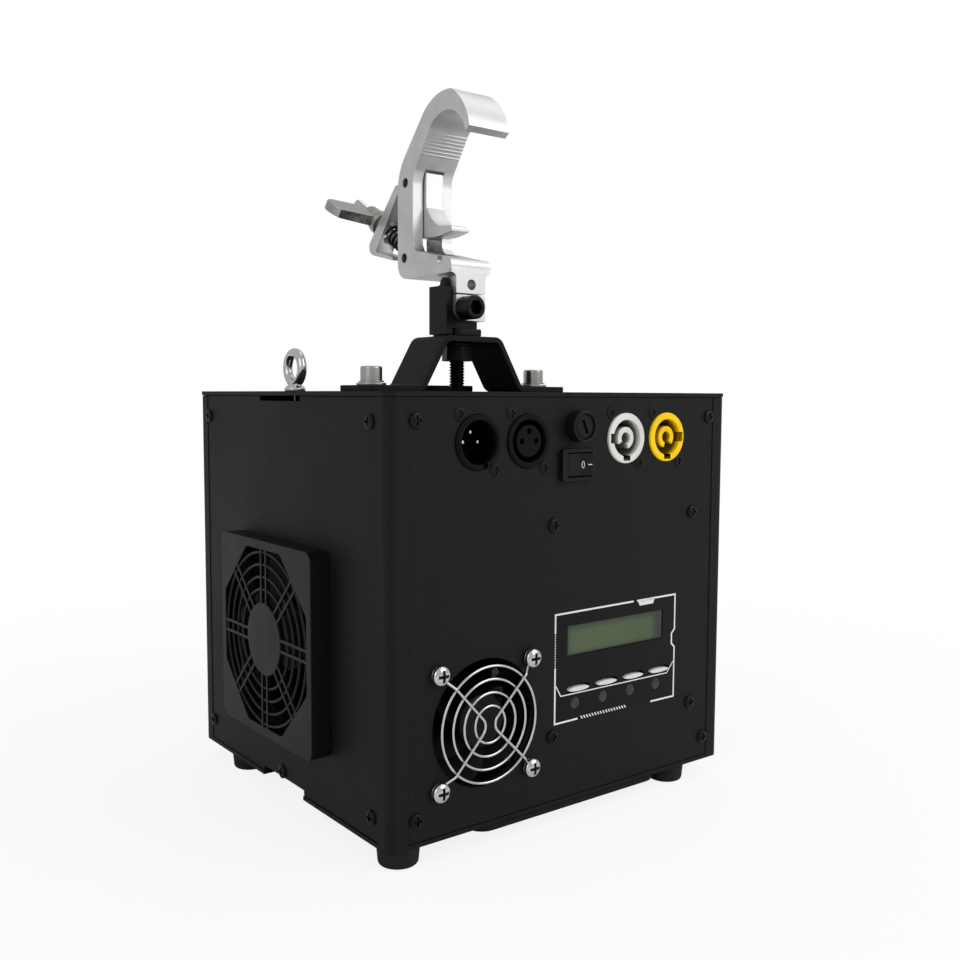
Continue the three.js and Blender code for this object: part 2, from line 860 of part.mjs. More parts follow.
function contactPlaces(x) {
  const sides = [-1, 1].map((side) => [x + side * contactPitch, socketHeight]);
  return [[x, socketHeight + contactPitch], ...sides];
}

function plugSocket(x) {
  const floor = noseFace + plugWellDepth;
  const well = alongY(rod(plugWellRadius, noseFace - overrun, floor), x, socketHeight);
  const shell = cut(socketShell(x), well);
  const pins = contactPlaces(x).map(([pinX, pinZ]) => {
    return alongY(rod(contactRadius, floor - contactLength, floor + weld), pinX, pinZ, 8);
  });
  return join(shell, ...pins);
}

function receptacle(x) {
  const floor = noseFace + plugWellDepth;
  const well = pipe(plugWellRadius, receptacleCoreRadius, noseFace - overrun, floor);
  const face = rod(receptacleCoreRadius + weld, noseFace - overrun, noseFace + receptacleCoreRecess);
  const holes = contactPlaces(x).map(([holeX, holeZ]) => {
    return alongY(rod(contactHoleRadius, noseFace - overrun, floor), holeX, holeZ, 8);
  });
  const tools = [alongY(well, x, socketHeight), alongY(face, x, socketHeight), ...holes];
  return cut(socketShell(x), ...tools);
}

function powerSocket(x, keyAngles) {
  const floor = noseFace + powerWellDepth;
  const well = pipe(powerWellRadius, powerCoreRadius, noseFace - overrun, floor);
  const face = rod(powerCoreRadius + weld, noseFace - overrun, noseFace + powerCoreRecess);
  const bore = rod(powerCoreBore, noseFace - overrun, floor);
  const slotLow = socketHeight - powerCoreSlot / 2;
  const slotHigh = socketHeight + powerCoreSlot / 2;
  const slot = block(x - powerCoreRadius - weld, x, noseFace - overrun, floor, slotLow, slotHigh);
  const keys = keyAngles.map((angle) => {
    const reach = powerWellRadius + powerKeyDepth;
    const key = block(0, reach, noseFace - overrun, floor, -powerKeyWidth / 2, powerKeyWidth / 2);
    const middle = rod(powerCoreRadius + weld, noseFace - 2 * overrun, floor + overrun);
    const opened = cut(key, alongY(middle, 0, 0));
    return opened.rotateY(angle).translate(x, 0, socketHeight);
  });
  const tools = [well, face, bore].map((profile) => alongY(profile, x, socketHeight));
  return cut(socketShell(x), ...tools, slot, ...keys);
}

function buildSockets() {
  place("dmx_in_socket", plugSocket(dmxInX), blackPlastic);
  place("dmx_out_socket", receptacle(dmxOutX), blackPlastic);
  place("power_out_socket", powerSocket(powerOutX, [Math.PI, Math.PI / 2]), whitePlastic);
  place("power_in_socket", powerSocket(powerInX, [0, Math.PI / 2]), yellowPlastic);
}

// Fuse holder and its cap
const fuseFace = frontFace - fuseHeadProud;

function fuseHolder() {
  const wellFloor = fuseFace + fuseCapWellDepth;
  const back = frontFace + fuseBodyLength;
  const wellRadius = fuseCapRadius + fit;
  const profile = [[0, back], [0, wellFloor + fuseStemLength + fit + fuseCapRecess]];
  profile.push([fuseBoreRadius, wellFloor + fuseStemLength + fit + fuseCapRecess]);
  profile.push([fuseBoreRadius, wellFloor], [wellRadius, wellFloor], [wellRadius, fuseFace]);
  profile.push([fuseHeadRadius, fuseFace], [fuseHeadRadius, frontFace - fit]);
  profile.push([fuseBodyRadius, frontFace - fit], [fuseBodyRadius, back], [0, back]);
  return alongY(profile.reverse(), fuseX, fuseZ);
}

function fuseCap() {
  const face = fuseFace + fuseCapRecess;
  const shoulder = fuseFace + fuseCapWellDepth - fit;
  const end = shoulder + fuseStemLength;
  const profile = [[0, face], [fuseCapRadius, face], [fuseCapRadius, shoulder]];
  profile.push([fuseStemRadius, shoulder], [fuseStemRadius, end], [0, end]);
  const body = alongY(profile, 0, 0);
  const half = fuseSlotLength / 2;
  const side = fuseSlotWidth / 2;
  const slot = block(-half, half, face - overrun, face + fuseSlotDepth, -side, side);
  return cut(body, slot.rotateY(fuseSlotTurn)).translate(fuseX, 0, fuseZ);
}

// Rocker switch
const bezelFace = frontFace - switchBezelProud;

function switchBody() {
  const bezel = rounded(switchX, switchZ, switchBezelWidth, switchBezelHeight, switchBezelRadius);
  const back = frontFace + switchBodyDepth;
  const front = frontPlate(bezel, bezelFace, frontFace - fit);
  const body = centred(switchX, switchZ, switchBodyWidth, switchBodyHeight);
  const whole = join(front, frontPlate(body, frontFace - fit - weld, back));
  const wellWidth = rockerWidth + 2 * rockerWellClearance;
  const wellHeight = rockerHeight + 2 * rockerWellClearance;
  const well = centred(switchX, switchZ, wellWidth, wellHeight);
  return cut(whole, frontPlate(well, bezelFace - overrun, bezelFace + switchWellDepth));
}

function rocker() {
  const half = rockerWidth / 2;
  const valley = half * Math.tan(rockerTilt);
  const outline = new THREE.Shape();
  outline.moveTo(-half, 0).lineTo(0, valley).lineTo(half, 0);
  outline.lineTo(half, rockerRimDepth).lineTo(rockerBackWidth / 2, rockerBackDepth);
  outline.lineTo(-rockerBackWidth / 2, rockerBackDepth).lineTo(-half, rockerRimDepth).closePath();
  const solid = flatPlate(outline, -rockerHeight / 2, rockerHeight / 2);
  solid.translate(0, -rockerPivotDepth, 0).rotateZ(-rockerTilt);
  return solid.translate(switchX, bezelFace + rockerPivotDepth, switchZ);
}

// Display, buttons, lamps and the board that carries them
function displayModule() {
  const x = windowLeft + windowWidth / 2;
  const z = windowLow + windowHeight / 2;
  const width = windowWidth + displayModuleMargin;
  const body = centred(x, z, width, windowHeight + displayModuleMargin);
  const glassWidth = windowWidth - 2 * displayGlassClearance;
  const glass = centred(x, z, glassWidth, windowHeight - 2 * displayGlassClearance);
  const front = frontPlate(glass, frontFace + displayGlassRecess, flangeFront + weld);
  return join(front, frontPlate(body, flangeFront, flangeFront + displayModuleDepth));
}

function pushButton(x) {
  const cap = ellipse(x, buttonZ, buttonWidth, buttonHeight);
  const flange = ellipse(x, buttonZ, buttonFlangeWidth, buttonFlangeHeight);
  const front = frontPlate(cap, frontFace - buttonProud, flangeFront + weld, 6);
  return join(front, frontPlate(flange, flangeFront, flangeFront + buttonFlangeThickness, 6));
}

function lampStrip() {
  const run = (buttonCount - 1) * buttonPitch;
  const width = run + 2 * (lampRadius + lampStripMargin);
  const shape = centred(lampFirstX + run / 2, lampZ, width, lampStripHeight);
  const lamps = [];
  for (let lamp = 0; lamp < buttonCount; lamp += 1) {
    const profile = rod(lampRadius, frontFace - lampProud, flangeFront + weld);
    lamps.push(alongY(profile, lampFirstX + lamp * buttonPitch, lampZ, coarse));
  }
  return join(frontPlate(shape, flangeFront, flangeFront + lampStripThickness), ...lamps);
}

function controlBoard() {
  const front = flangeFront + boardStandoffLength;
  const outline = rectangle(
    boardLeft - boardMargin,
    boardLow - boardMargin,
    boardRight + boardMargin,
    boardHigh + boardMargin,
  );
  const pieces = [frontPlate(outline, front, front + boardThickness)];
  for (const x of [boardLeft, boardRight]) {
    for (const z of [boardLow, boardHigh]) {
      pieces.push(alongY(rod(boardStandoffRadius, flangeFront, front + weld), x, z, 10));
    }
  }
  const middle = (boardLeft + boardRight) / 2;
  const back = front + boardThickness;
  const chip = centred(middle, (boardLow + boardHigh) / 2, boardChipWidth, boardChipHeight);
  pieces.push(frontPlate(chip, back - weld, back + boardChipDepth));
  return join(...pieces);
}

function buildControls() {
  place("fuse_holder", fuseHolder(), blackPlastic);
  place("fuse_cap", fuseCap(), blackPlastic);
  place("switch_body", switchBody(), blackPlastic);
  place("switch_rocker", rocker(), blackPlastic);
  place("display_module", displayModule(), lcdGlass);
  ["menu_button", "up_button", "down_button", "enter_button"].forEach((name, index) => {
    place(name, pushButton(buttonFirstX + index * buttonPitch), whitePlastic);
  });
  place("indicator_strip", lampStrip(), lampGlass);
  place("control_board", controlBoard(), boardGreen);
}

// A box fan drawn about the Z axis, its open face at zero
function fanFrame(size, depth, bore, screwPitch, hubRadius) {
  const shape = rounded(0, 0, size, size, fanCornerRadius);
  for (const u of [-1, 1]) {
    for (const v of [-1, 1]) {
      shape.holes.push(circle((u * screwPitch) / 2, (v * screwPitch) / 2, fanScrewRadius));
    }
  }
  const seatLow = depth - fanMotorSeatThickness;
  const struts = [0, 1].map((turn) => {
    const bar = centred(0, 0, 2 * (bore + weld), fanStrutWidth);
    return flatPlate(bar, seatLow, depth).rotateZ(turn * (Math.PI / 2) + Math.PI / 4);
  });
  const ring = cut(flatPlate(shape, 0, depth), turned(rod(bore, -overrun, depth + overrun), fine));
  return join(ring, ...struts, turned(rod(hubRadius, seatLow, depth), medium));
}

function fanRotor(depth, bore, hubRadius) {
  const low = fanRunningGap;
  const high = depth - fanMotorSeatThickness - fit;
  const pieces = [turned(rod(hubRadius, low, high), medium)];
  const reach = bore - fanRunningGap;
  const span = (high - low) / (Math.sin(fanBladeTilt) + 1);
  for (let blade = 0; blade < fanBladeCount; blade += 1) {
    const side = fanBladeThickness / 2;
    const plate = block(hubRadius / 2, reach - fanRunningGap, -side, side, -span / 2, span / 2);
    plate.rotateX(fanBladeTilt).translate(0, 0, (low + high) / 2);
    pieces.push(plate.rotateZ((blade * 2 * Math.PI) / fanBladeCount));
  }
  return join(...pieces);
}

function towardsBack(geometry) {
  return geometry.rotateX(-Math.PI / 2).translate(frontFanX, flangeFront, frontFanZ);
}

function towardsRight(geometry) {
  return geometry.applyMatrix4(sideways).translate(leftBack + fit, sideFanY, sideFanZ);
}

// Wire guard: four rings, two bent stays across them and an eye round each screw
function wireGuard() {
  const ringY = -guardStandOff;
  const pieces = guardRingRadii.map((radius) => {
    const ring = new THREE.TorusGeometry(radius, guardWireRadius, 5, medium);
    return ring.rotateX(Math.PI / 2).translate(0, ringY, 0);
  });
  const half = frontFanScrewPitch / 2;
  const stayY = ringY + 2 * guardWireRadius - weld;
  const eyeHeight = -guardWireRadius - fit;
  const toEye = guardEyeRadius * Math.SQRT1_2;
  for (const side of [-1, 1]) {
    const corners = [1, -1].map((upDown) => {
      const x = side * (half - toEye);
      const bendX = side * (guardRingRadii[3] + guardWireRadius) * Math.SQRT1_2;
      return {
        eye: new THREE.Vector3(x, eyeHeight, upDown * (half - toEye)),
        bend: new THREE.Vector3(bendX, stayY, (upDown * side * bendX)),
      };
    });
    const apex = new THREE.Vector3(side * guardStayApex, stayY, 0);
    const route = [corners[0].eye, corners[0].bend, apex, corners[1].bend, corners[1].eye];
    for (let leg = 0; leg < route.length - 1; leg += 1) {
      const line = new THREE.LineCurve3(route[leg], route[leg + 1]);
      pieces.push(wire(line, guardWireRadius, 1, 5));
    }
    const joints = [corners[0].bend, apex, corners[1].bend];
    for (const joint of joints) {
      const ball = new THREE.SphereGeometry(guardWireRadius, 5, 3);
      pieces.push(ball.translate(joint.x, joint.y, joint.z));
    }
    for (const upDown of [1, -1]) {
      const eye = new THREE.TorusGeometry(guardEyeRadius, guardWireRadius, 4, coarse);
      eye.rotateX(Math.PI / 2);
      pieces.push(eye.translate(side * half, eyeHeight, upDown * half));
    }
  }
  return join(...pieces).translate(frontFanX, frontFace, frontFanZ);
}

// Moulded guard: a square rim, rings and paired spokes, drawn with its outer face at zero
function mouldedGuard() {
  const square = flatPlate(rounded(0, 0, grilleSize, grilleSize, grilleCornerRadius), 0, grilleDepth);
  const pieces = [cut(square, turned(rod(grilleOpeningRadius, -overrun, grilleDepth + overrun), fine))];
  for (const radius of grilleRingRadii) {
    const half = grilleBarWidth / 2;
    pieces.push(turned(pipe(radius + half, radius - half, 0, grilleBarDepth), grilleSegments));
  }
  pieces.push(turned(rod(grilleHubRadius, 0, grilleBarDepth), grilleSegments));
  const reach = grilleOpeningRadius + weld;
  for (let pair = 0; pair < grilleSpokePairs; pair += 1) {
    for (const side of [-1, 1]) {
      const offset = (side * grilleSpokeGap) / 2;
      const low = offset - grilleBarWidth / 2;
      const spoke = rectangle(grilleHubRadius - grilleSpokeGap, low, reach, low + grilleBarWidth);
      const turn = (pair * 2 * Math.PI) / grilleSpokePairs;
      pieces.push(flatPlate(spoke, weld, grilleBarDepth - weld).rotateZ(turn));
    }
  }
  const outer = -caseWidth / 2 - fit - grilleDepth;
  return join(...pieces).applyMatrix4(sideways).translate(outer, sideFanY, sideFanZ);
}

function buildFans() {
  const front = [frontFanSize, frontFanDepth, frontFanBore, frontFanScrewPitch, frontFanHubRadius];
  const side = [sideFanSize, sideFanDepth, sideFanBore, sideFanScrewPitch, sideFanHubRadius];
  place("front_fan_frame", towardsBack(fanFrame(...front)), blackPlastic);
  const frontRotor = fanRotor(frontFanDepth, frontFanBore, frontFanHubRadius);
  place("front_fan_rotor", towardsBack(frontRotor), blackPlastic);
  place("front_fan_guard", wireGuard(), brightSteel);
  place("side_fan_frame", towardsRight(fanFrame(...side)), blackPlastic);
  const sideRotor = fanRotor(sideFanDepth, sideFanBore, sideFanHubRadius);
  place("side_fan_rotor", towardsRight(sideRotor), blackPlastic);
  place("side_fan_guard", mouldedGuard(), blackPlastic);
}

// Filler lid, hinged on its rear edge, and the hopper below it
function hopperLid() {
  const low = caseHeight + fit;
  const half = lidWidth / 2;
  const plate = block(-half, half, lidFront, lidHingeY - lidHingeRadius, low, low + lidThickness);
  const profile = rod(lidHingeRadius, -half, half);
  const knuckle = alongX(profile, lidHingeY - lidHingeRadius, low + lidHingeRadius, coarse);
  return join(plate, knuckle);
}

function hopper() {
  const top = hopperTop;
  const width = lidWidth - 2 * lidRim + 2 * hopperWall;
  const depth = lidDepth - 2 * lidRim + 2 * hopperWall;
  const middle = lidFront + lidDepth / 2;
  const lip = centred(0, middle, width + 2 * hopperLipWidth, depth + 2 * hopperLipWidth);
  const outletWidth = hopperOutletWidth + 2 * hopperWall;
  const outside = [
    flatPlate(lip, top - hopperWall, top),
    flatPlate(centred(0, middle, width, depth), funnelTop, top),
    funnel(width, depth, outletWidth, middle, funnelTop + weld, hopperOutletLow),
  ];
  const clearWidth = width - 2 * hopperWall;
  const clearDepth = depth - 2 * hopperWall;
  const low = hopperOutletLow - overrun;
  const inside = [
    flatPlate(centred(0, middle, clearWidth, clearDepth), funnelTop, top + overrun),
    funnel(clearWidth, clearDepth, hopperOutletWidth, middle, funnelTop + weld, low),
  ];
  return cut(join(...outside), ...inside);
}

// A four-sided funnel from a rectangle down to a square
function funnel(width, depth, outlet, middle, high, low) {
  const corners = [];
  for (const [w, d, y, z] of [[outlet, outlet, feedInletY, low], [width, depth, middle, high]]) {
    corners.push([-w / 2, y - d / 2, z], [w / 2, y - d / 2, z]);
    corners.push([w / 2, y + d / 2, z], [-w / 2, y + d / 2, z]);
  }
  const faces = [0, 2, 1, 0, 3, 2, 4, 5, 6, 4, 6, 7];
  for (let side = 0; side < 4; side += 1) {
    const next = (side + 1) % 4;
    faces.push(side, next, next + 4, side, next + 4, side + 4);
  }
  const geometry = new THREE.BufferGeometry();
  geometry.setAttribute("position", new THREE.Float32BufferAttribute(corners.flat(), 3));
  geometry.setIndex(faces);
  return geometry;
}

// Feed tube, screw and motor
function feedTube() {
  const tube = alongY(pipe(feedTubeRadius, feedTubeBore, feedTubeFront, feedTubeRear), 0, feedHeight);
  const wall = rod(feedTubeRadius - weld, feedTubeFront, feedTubeFront + feedEndWall);
  const whole = join(tube, alongY(wall, 0, feedHeight));
  const half = feedInletWidth / 2;
  const inletHigh = feedHeight + feedTubeRadius + overrun;
  const inlet = block(-half, half, feedInletY - half, feedInletY + half, feedHeight, inletHigh);
  const outletLow = feedHeight - feedTubeRadius - overrun;
  const outlet = upright(rod(feedOutletRadius, outletLow, feedHeight), 0, 0, coarse);
  return cut(whole, inlet, outlet);
}

function feedScrew() {
  const start = feedTubeFront + feedEndWall + fit;
  const length = feedTubeRear + fit - start;
  const steps = 24;
  const section = centred(0, 0, 2 * screwRadius, screwFlightThickness);
  const options = { depth: length, steps, bevelEnabled: false };
  const flight = new THREE.ExtrudeGeometry(section, options);
  const position = flight.attributes.position;
  for (let i = 0; i < position.count; i += 1) {
    const turn = (position.getZ(i) / length) * screwTurns * 2 * Math.PI;
    const x = position.getX(i);
    const y = position.getY(i);
    const cosine = Math.cos(turn);
    const sine = Math.sin(turn);
    position.setXY(i, x * cosine - y * sine, x * sine + y * cosine);
  }
  return flight.rotateX(-Math.PI / 2).translate(0, start, feedHeight);
}

function feedMotor() {
  const front = feedTubeRear + 2 * fit;
  const half = feedMotorBracketWidth / 2;
  const low = feedHeight - half;
  const bracketBack = front + feedMotorBracketThickness;
  const bracket = block(-half, half, front, bracketBack, low, feedHeight + half);
  const motor = rod(feedMotorRadius, bracketBack - weld, front + feedMotorLength);
  return join(bracket, alongY(motor, 0, feedHeight));
}

// Heating chamber with its coil, and the nozzle under it
function heatingChamber() {
  const tube = upright(pipe(chamberRadius, chamberBore, chamberLow, chamberTop), 0, 0);
  const half = blowerDuctWidth / 2 - blowerWall;
  const port = block(0, chamberRadius + overrun, -half, half, blowerZ - half, blowerZ + half);
  return cut(tube, port);
}

function heatingCoil() {
  const helix = new Helix(coilRadius, coilTurns * coilPitch, coilTurns);
  return wire(helix, coilWireRadius, coilTurns * medium, 5).translate(0, 0, coilLow);
}

function nozzle() {
  const flangeHigh = baseThickness + fit + nozzleFlangeThickness;
  const low = -fit - dischargePlateThickness;
  const profile = [[nozzleBore, low], [nozzleRadius, low]];
  profile.push([nozzleRadius, baseThickness + fit], [nozzleFlangeRadius, baseThickness + fit]);
  profile.push([nozzleFlangeRadius, flangeHigh], [nozzleRadius, flangeHigh], [nozzleRadius, nozzleTop]);
  profile.push([nozzleBore, nozzleTop], [nozzleBore, low]);
  return upright(profile, 0, 0);
}

// Blower: a round housing with a duct to the chamber and a wheel inside
function blowerHousing() {
  const front = blowerX;
  const back = blowerX + blowerWidth;
  const drum = alongX(rod(blowerRadius, front, back), 0, blowerZ);
  const half = blowerDuctWidth / 2;
  const ductStart = chamberRadius + fit;
  const duct = block(ductStart, front + weld, -half, half, blowerZ - half, blowerZ + half);
  const footHalf = blowerFootWidth / 2;
  const foot = block(front, back, -footHalf, footHalf, baseThickness + fit, blowerZ - blowerRadius / 2);
  const inner = rod(blowerRadius - blowerWall, front + blowerWall, back - blowerWall);
  const inlet = rod(blowerInletRadius, back - blowerWall - overrun, back + overrun);
  const round = [inner, inlet].map((profile) => alongX(profile, 0, blowerZ));
  const clear = half - blowerWall;
  const boreStart = ductStart - overrun;
  const boreEnd = front + 2 * blowerWall;
  const bore = block(boreStart, boreEnd, -clear, clear, blowerZ - clear, blowerZ + clear);
  return cut(join(drum, duct, foot), ...round, bore);
}

function blowerWheel() {
  const low = blowerX + blowerWall + fit;
  const pieces = [alongX(rod(blowerWheelRadius, low, low + blowerWall), 0, blowerZ)];
  pieces.push(alongX(rod(blowerHubRadius, low, low + blowerWheelWidth), 0, blowerZ));
  for (let blade = 0; blade < blowerBladeCount; blade += 1) {
    const half = fanBladeThickness / 2;
    const root = blowerHubRadius - weld;
    const tip = blowerWheelRadius - weld;
    const plate = block(low + weld, low + blowerWheelWidth, root, tip, -half, half);
    pieces.push(plate.rotateX((blade * 2 * Math.PI) / blowerBladeCount).translate(0, 0, blowerZ));
  }
  return join(...pieces);
}

function powerSupply() {
  const low = baseThickness + fit;
  const high = low + supplyHeight;
  const half = supplyWidth / 2;
  const front = supplyY - supplyDepth / 2;
  const back = supplyY + supplyDepth / 2;
  const pieces = [block(supplyX - half, supplyX + half, front, back, low, high)];
  const pitch = supplyWidth / supplyFinCount;
  for (let fin = 0; fin < supplyFinCount; fin += 1) {
    const x = supplyX - half + (fin + 0.5) * pitch;
    const side = supplyFinWidth / 2;
    pieces.push(block(x - side, x + side, front, back, high - weld, high + supplyFinHeight));
  }
  return join(...pieces);
}

function buildInside() {
  place("hopper_lid", hopperLid(), powderCoat);
  place("hopper", hopper(), stainless);
  place("feed_tube", feedTube(), stainless);
  place("feed_screw", feedScrew(), brightSteel);
  place("feed_motor", feedMotor(), zincSteel);
  place("heating_chamber", heatingChamber(), castIron);
  place("heating_coil", heatingCoil(), copper);
  place("nozzle", nozzle(), stainless);
  place("blower_housing", blowerHousing(), blackPlastic);
  place("blower_wheel", blowerWheel(), blackPlastic);
  place("power_supply", powerSupply(), zincSteel);
}

// Hanging strap: one bent strip, drawn as its centre line with a constant thickness
function stripShape(points, thickness) {
  const half = thickness / 2;
  const left = [];
  const right = [];
  points.forEach((point, index) => {
    const before = points[Math.max(index - 1, 0)];
    const after = points[Math.min(index + 1, points.length - 1)];
    const into = point.clone().sub(index ? before : point).normalize();
    const out = after.clone().sub(point).normalize();
    if (index === 0) into.copy(out);
    if (index === points.length - 1) out.copy(into);
    const along = into.clone().add(out).normalize();
    const reach = half / Math.max(along.dot(into), leastMitreShare);
    const normal = new THREE.Vector2(-along.y, along.x).multiplyScalar(reach);
    left.push(point.clone().add(normal));
    right.unshift(point.clone().sub(normal));
  });
  return new THREE.Shape([...left, ...right]);
}

// Rounds each inner corner of a route of straight lines
function bentRoute(corners, radius, steps = 4) {
  const route = [corners[0]];
  for (let index = 1; index < corners.length - 1; index += 1) {
    const corner = corners[index];
    const into = corner.clone().sub(corners[index - 1]).normalize();
    const out = corners[index + 1].clone().sub(corner).normalize();
    const turn = Math.acos(into.dot(out));
    const setback = radius * Math.tan(turn / 2);
    const start = corner.clone().addScaledVector(into, -setback);
    const end = corner.clone().addScaledVector(out, setback);
    const curve = new THREE.QuadraticBezierCurve(start, corner, end);
    route.push(...curve.getPoints(steps));
  }
  route.push(corners[corners.length - 1]);
  return route;
}

function hangingStrap() {
  const half = strapThickness / 2;
  const low = caseHeight + fit + half;
  const high = strapTop - half;
  const corners = [
    [-strapLength / 2, low],
    [-strapFootSpread / 2, low],
    [-strapTopLength / 2, high],
    [strapTopLength / 2, high],
    [strapFootSpread / 2, low],
    [strapLength / 2, low],
  ].map(([x, z]) => new THREE.Vector2(x, z));
  const shape = stripShape(bentRoute(corners, strapBendRadius), strapThickness);
  const strip = frontPlate(shape, -strapWidth / 2, strapWidth / 2);
  const middle = rod(swivelBoltRadius + swivelHoleClearance, high - strapThickness, strapTop + overrun);
  const tools = [upright(middle, 0, 0)];
  for (const side of [-1, 1]) {
    const radius = strapBoltShankRadius + strapBoltShankClearance;
    const hole = rod(radius, caseHeight - overrun, low + strapThickness);
    tools.push(upright(hole, side * strapBoltX, 0));
  }
  return cut(strip, ...tools);
}

function strapBolt(x) {
  const seat = caseHeight + fit + strapThickness + fit;
  const washerTop = seat + strapWasherThickness;
  const top = washerTop + strapBoltHeadHeight;
  const profile = [[0, caseHeight - strapBoltReach], [strapBoltShankRadius, caseHeight - strapBoltReach]];
  profile.push([strapBoltShankRadius, seat], [strapWasherRadius, seat], [strapWasherRadius, washerTop]);
  profile.push([strapBoltHeadRadius, washerTop], [strapBoltHeadRadius, top], [0, top]);
  const socket = flatPlate(hexagon(strapBoltSocketRadius), top - strapBoltSocketDepth, top + overrun);
  return cut(upright(profile, 0, 0), socket).translate(x, 0, 0);
}

function safetyEye() {
  const low = caseHeight + fit;
  const collarTop = low + eyeCollarHeight;
  const shank = [[0, caseHeight - eyeShankLength], [eyeShankRadius, caseHeight - eyeShankLength]];
  shank.push([eyeShankRadius, low], [eyeCollarRadius, low], [eyeCollarRadius, collarTop], [0, collarTop]);
  const ring = new THREE.TorusGeometry(eyeRingRadius, eyeWireRadius, 8, medium).applyMatrix4(sideways);
  ring.translate(0, 0, collarTop + eyeRingRadius + eyeWireRadius / 2);
  return join(upright(shank, 0, 0), ring).translate(eyeX, eyeY, 0);
}

// Swivel bolt with its collar, whose cut side stands against the yoke's leg so that it can't turn
function swivelBolt() {
  const collarLow = strapTop + fit;
  const nutLow = strapTop - strapThickness - fit - swivelWasherThickness - swivelNutHeight;
  const shank = upright(rod(swivelBoltRadius, nutLow - swivelBoltTail, collarLow + weld), 0, 0);
  const collarTop = collarLow + swivelCollarHeight;
  const stop = yokeLeft + yokeLegThickness + fit;
  const far = -2 * swivelCollarFlat;
  const flat = block(far, stop, far, -far, collarLow - overrun, collarTop + overrun);
  const collar = cut(flatPlate(hexagon(swivelCollarFlat), collarLow, collarTop), flat);
  return join(shank, collar);
}

function swivelNut() {
  const high = strapTop - strapThickness - fit;
  const washerLow = high - swivelWasherThickness;
  const nut = flatPlate(hexagon(swivelNutFlat), washerLow - swivelNutHeight, washerLow + weld);
  const washer = upright(rod(swivelWasherRadius, washerLow, high), 0, 0);
  const bore = rod(swivelBoltRadius + fit, washerLow - swivelNutHeight - overrun, high + overrun);
  return cut(join(nut, washer), upright(bore, 0, 0));
}

// Yoke: base, side leg and back plate with a hollow corner for the clamp's round foot
function swivelYoke() {
  const baseTop = yokeBase + yokeBaseThickness;
  const backTop = yokeBase + yokeLegHeight;
  const legTop = backTop - yokeLegStep;
  const legLow = yokeBase - yokeLegDrop;
  const legRight = yokeLeft + yokeLegThickness;
  const shape = new THREE.Shape();
  shape.moveTo(yokeLeft, legLow).lineTo(legRight, legLow).lineTo(legRight, yokeBase);
  shape.lineTo(yokeRight, yokeBase).lineTo(yokeRight, baseTop).lineTo(legRight + yokeFillet, baseTop);
  shape.absarc(legRight + yokeFillet, baseTop + yokeFillet, yokeFillet, -Math.PI / 2, -Math.PI, true);
  shape.lineTo(legRight, legTop).lineTo(yokeLeft, legTop).closePath();
  const backFront = yokeBack - yokeLegThickness;
  const back = block(yokeLeft, yokeRight, backFront, yokeBack, yokeBase, backTop);
  const bore = rod(yokeBoltRadius + yokeBoltClearance, backFront - overrun, yokeBack + overrun);
  const whole = join(frontPlate(shape, yokeFront, yokeBack), back);
  return cut(whole, alongY(bore, yokeBoltX, yokeBase + yokeBoltRise));
}

function yokeBolt() {
  const headBack = armNose - fit;
  const headFront = headBack - yokeBoltHeadLength;
  const end = yokeBack - fit;
  const profile = [[0, headFront], [yokeBoltHeadRadius, headFront], [yokeBoltHeadRadius, headBack]];
  profile.push([yokeBoltRadius, headBack], [yokeBoltRadius, end], [0, end]);
  const socketBack = headFront + yokeBoltSocketDepth;
  const socket = frontPlate(hexagon(yokeBoltSocketRadius), headFront - overrun, socketBack);
  return cut(alongY(profile, 0, 0), socket).translate(yokeBoltX, 0, yokeBase + yokeBoltRise);
}

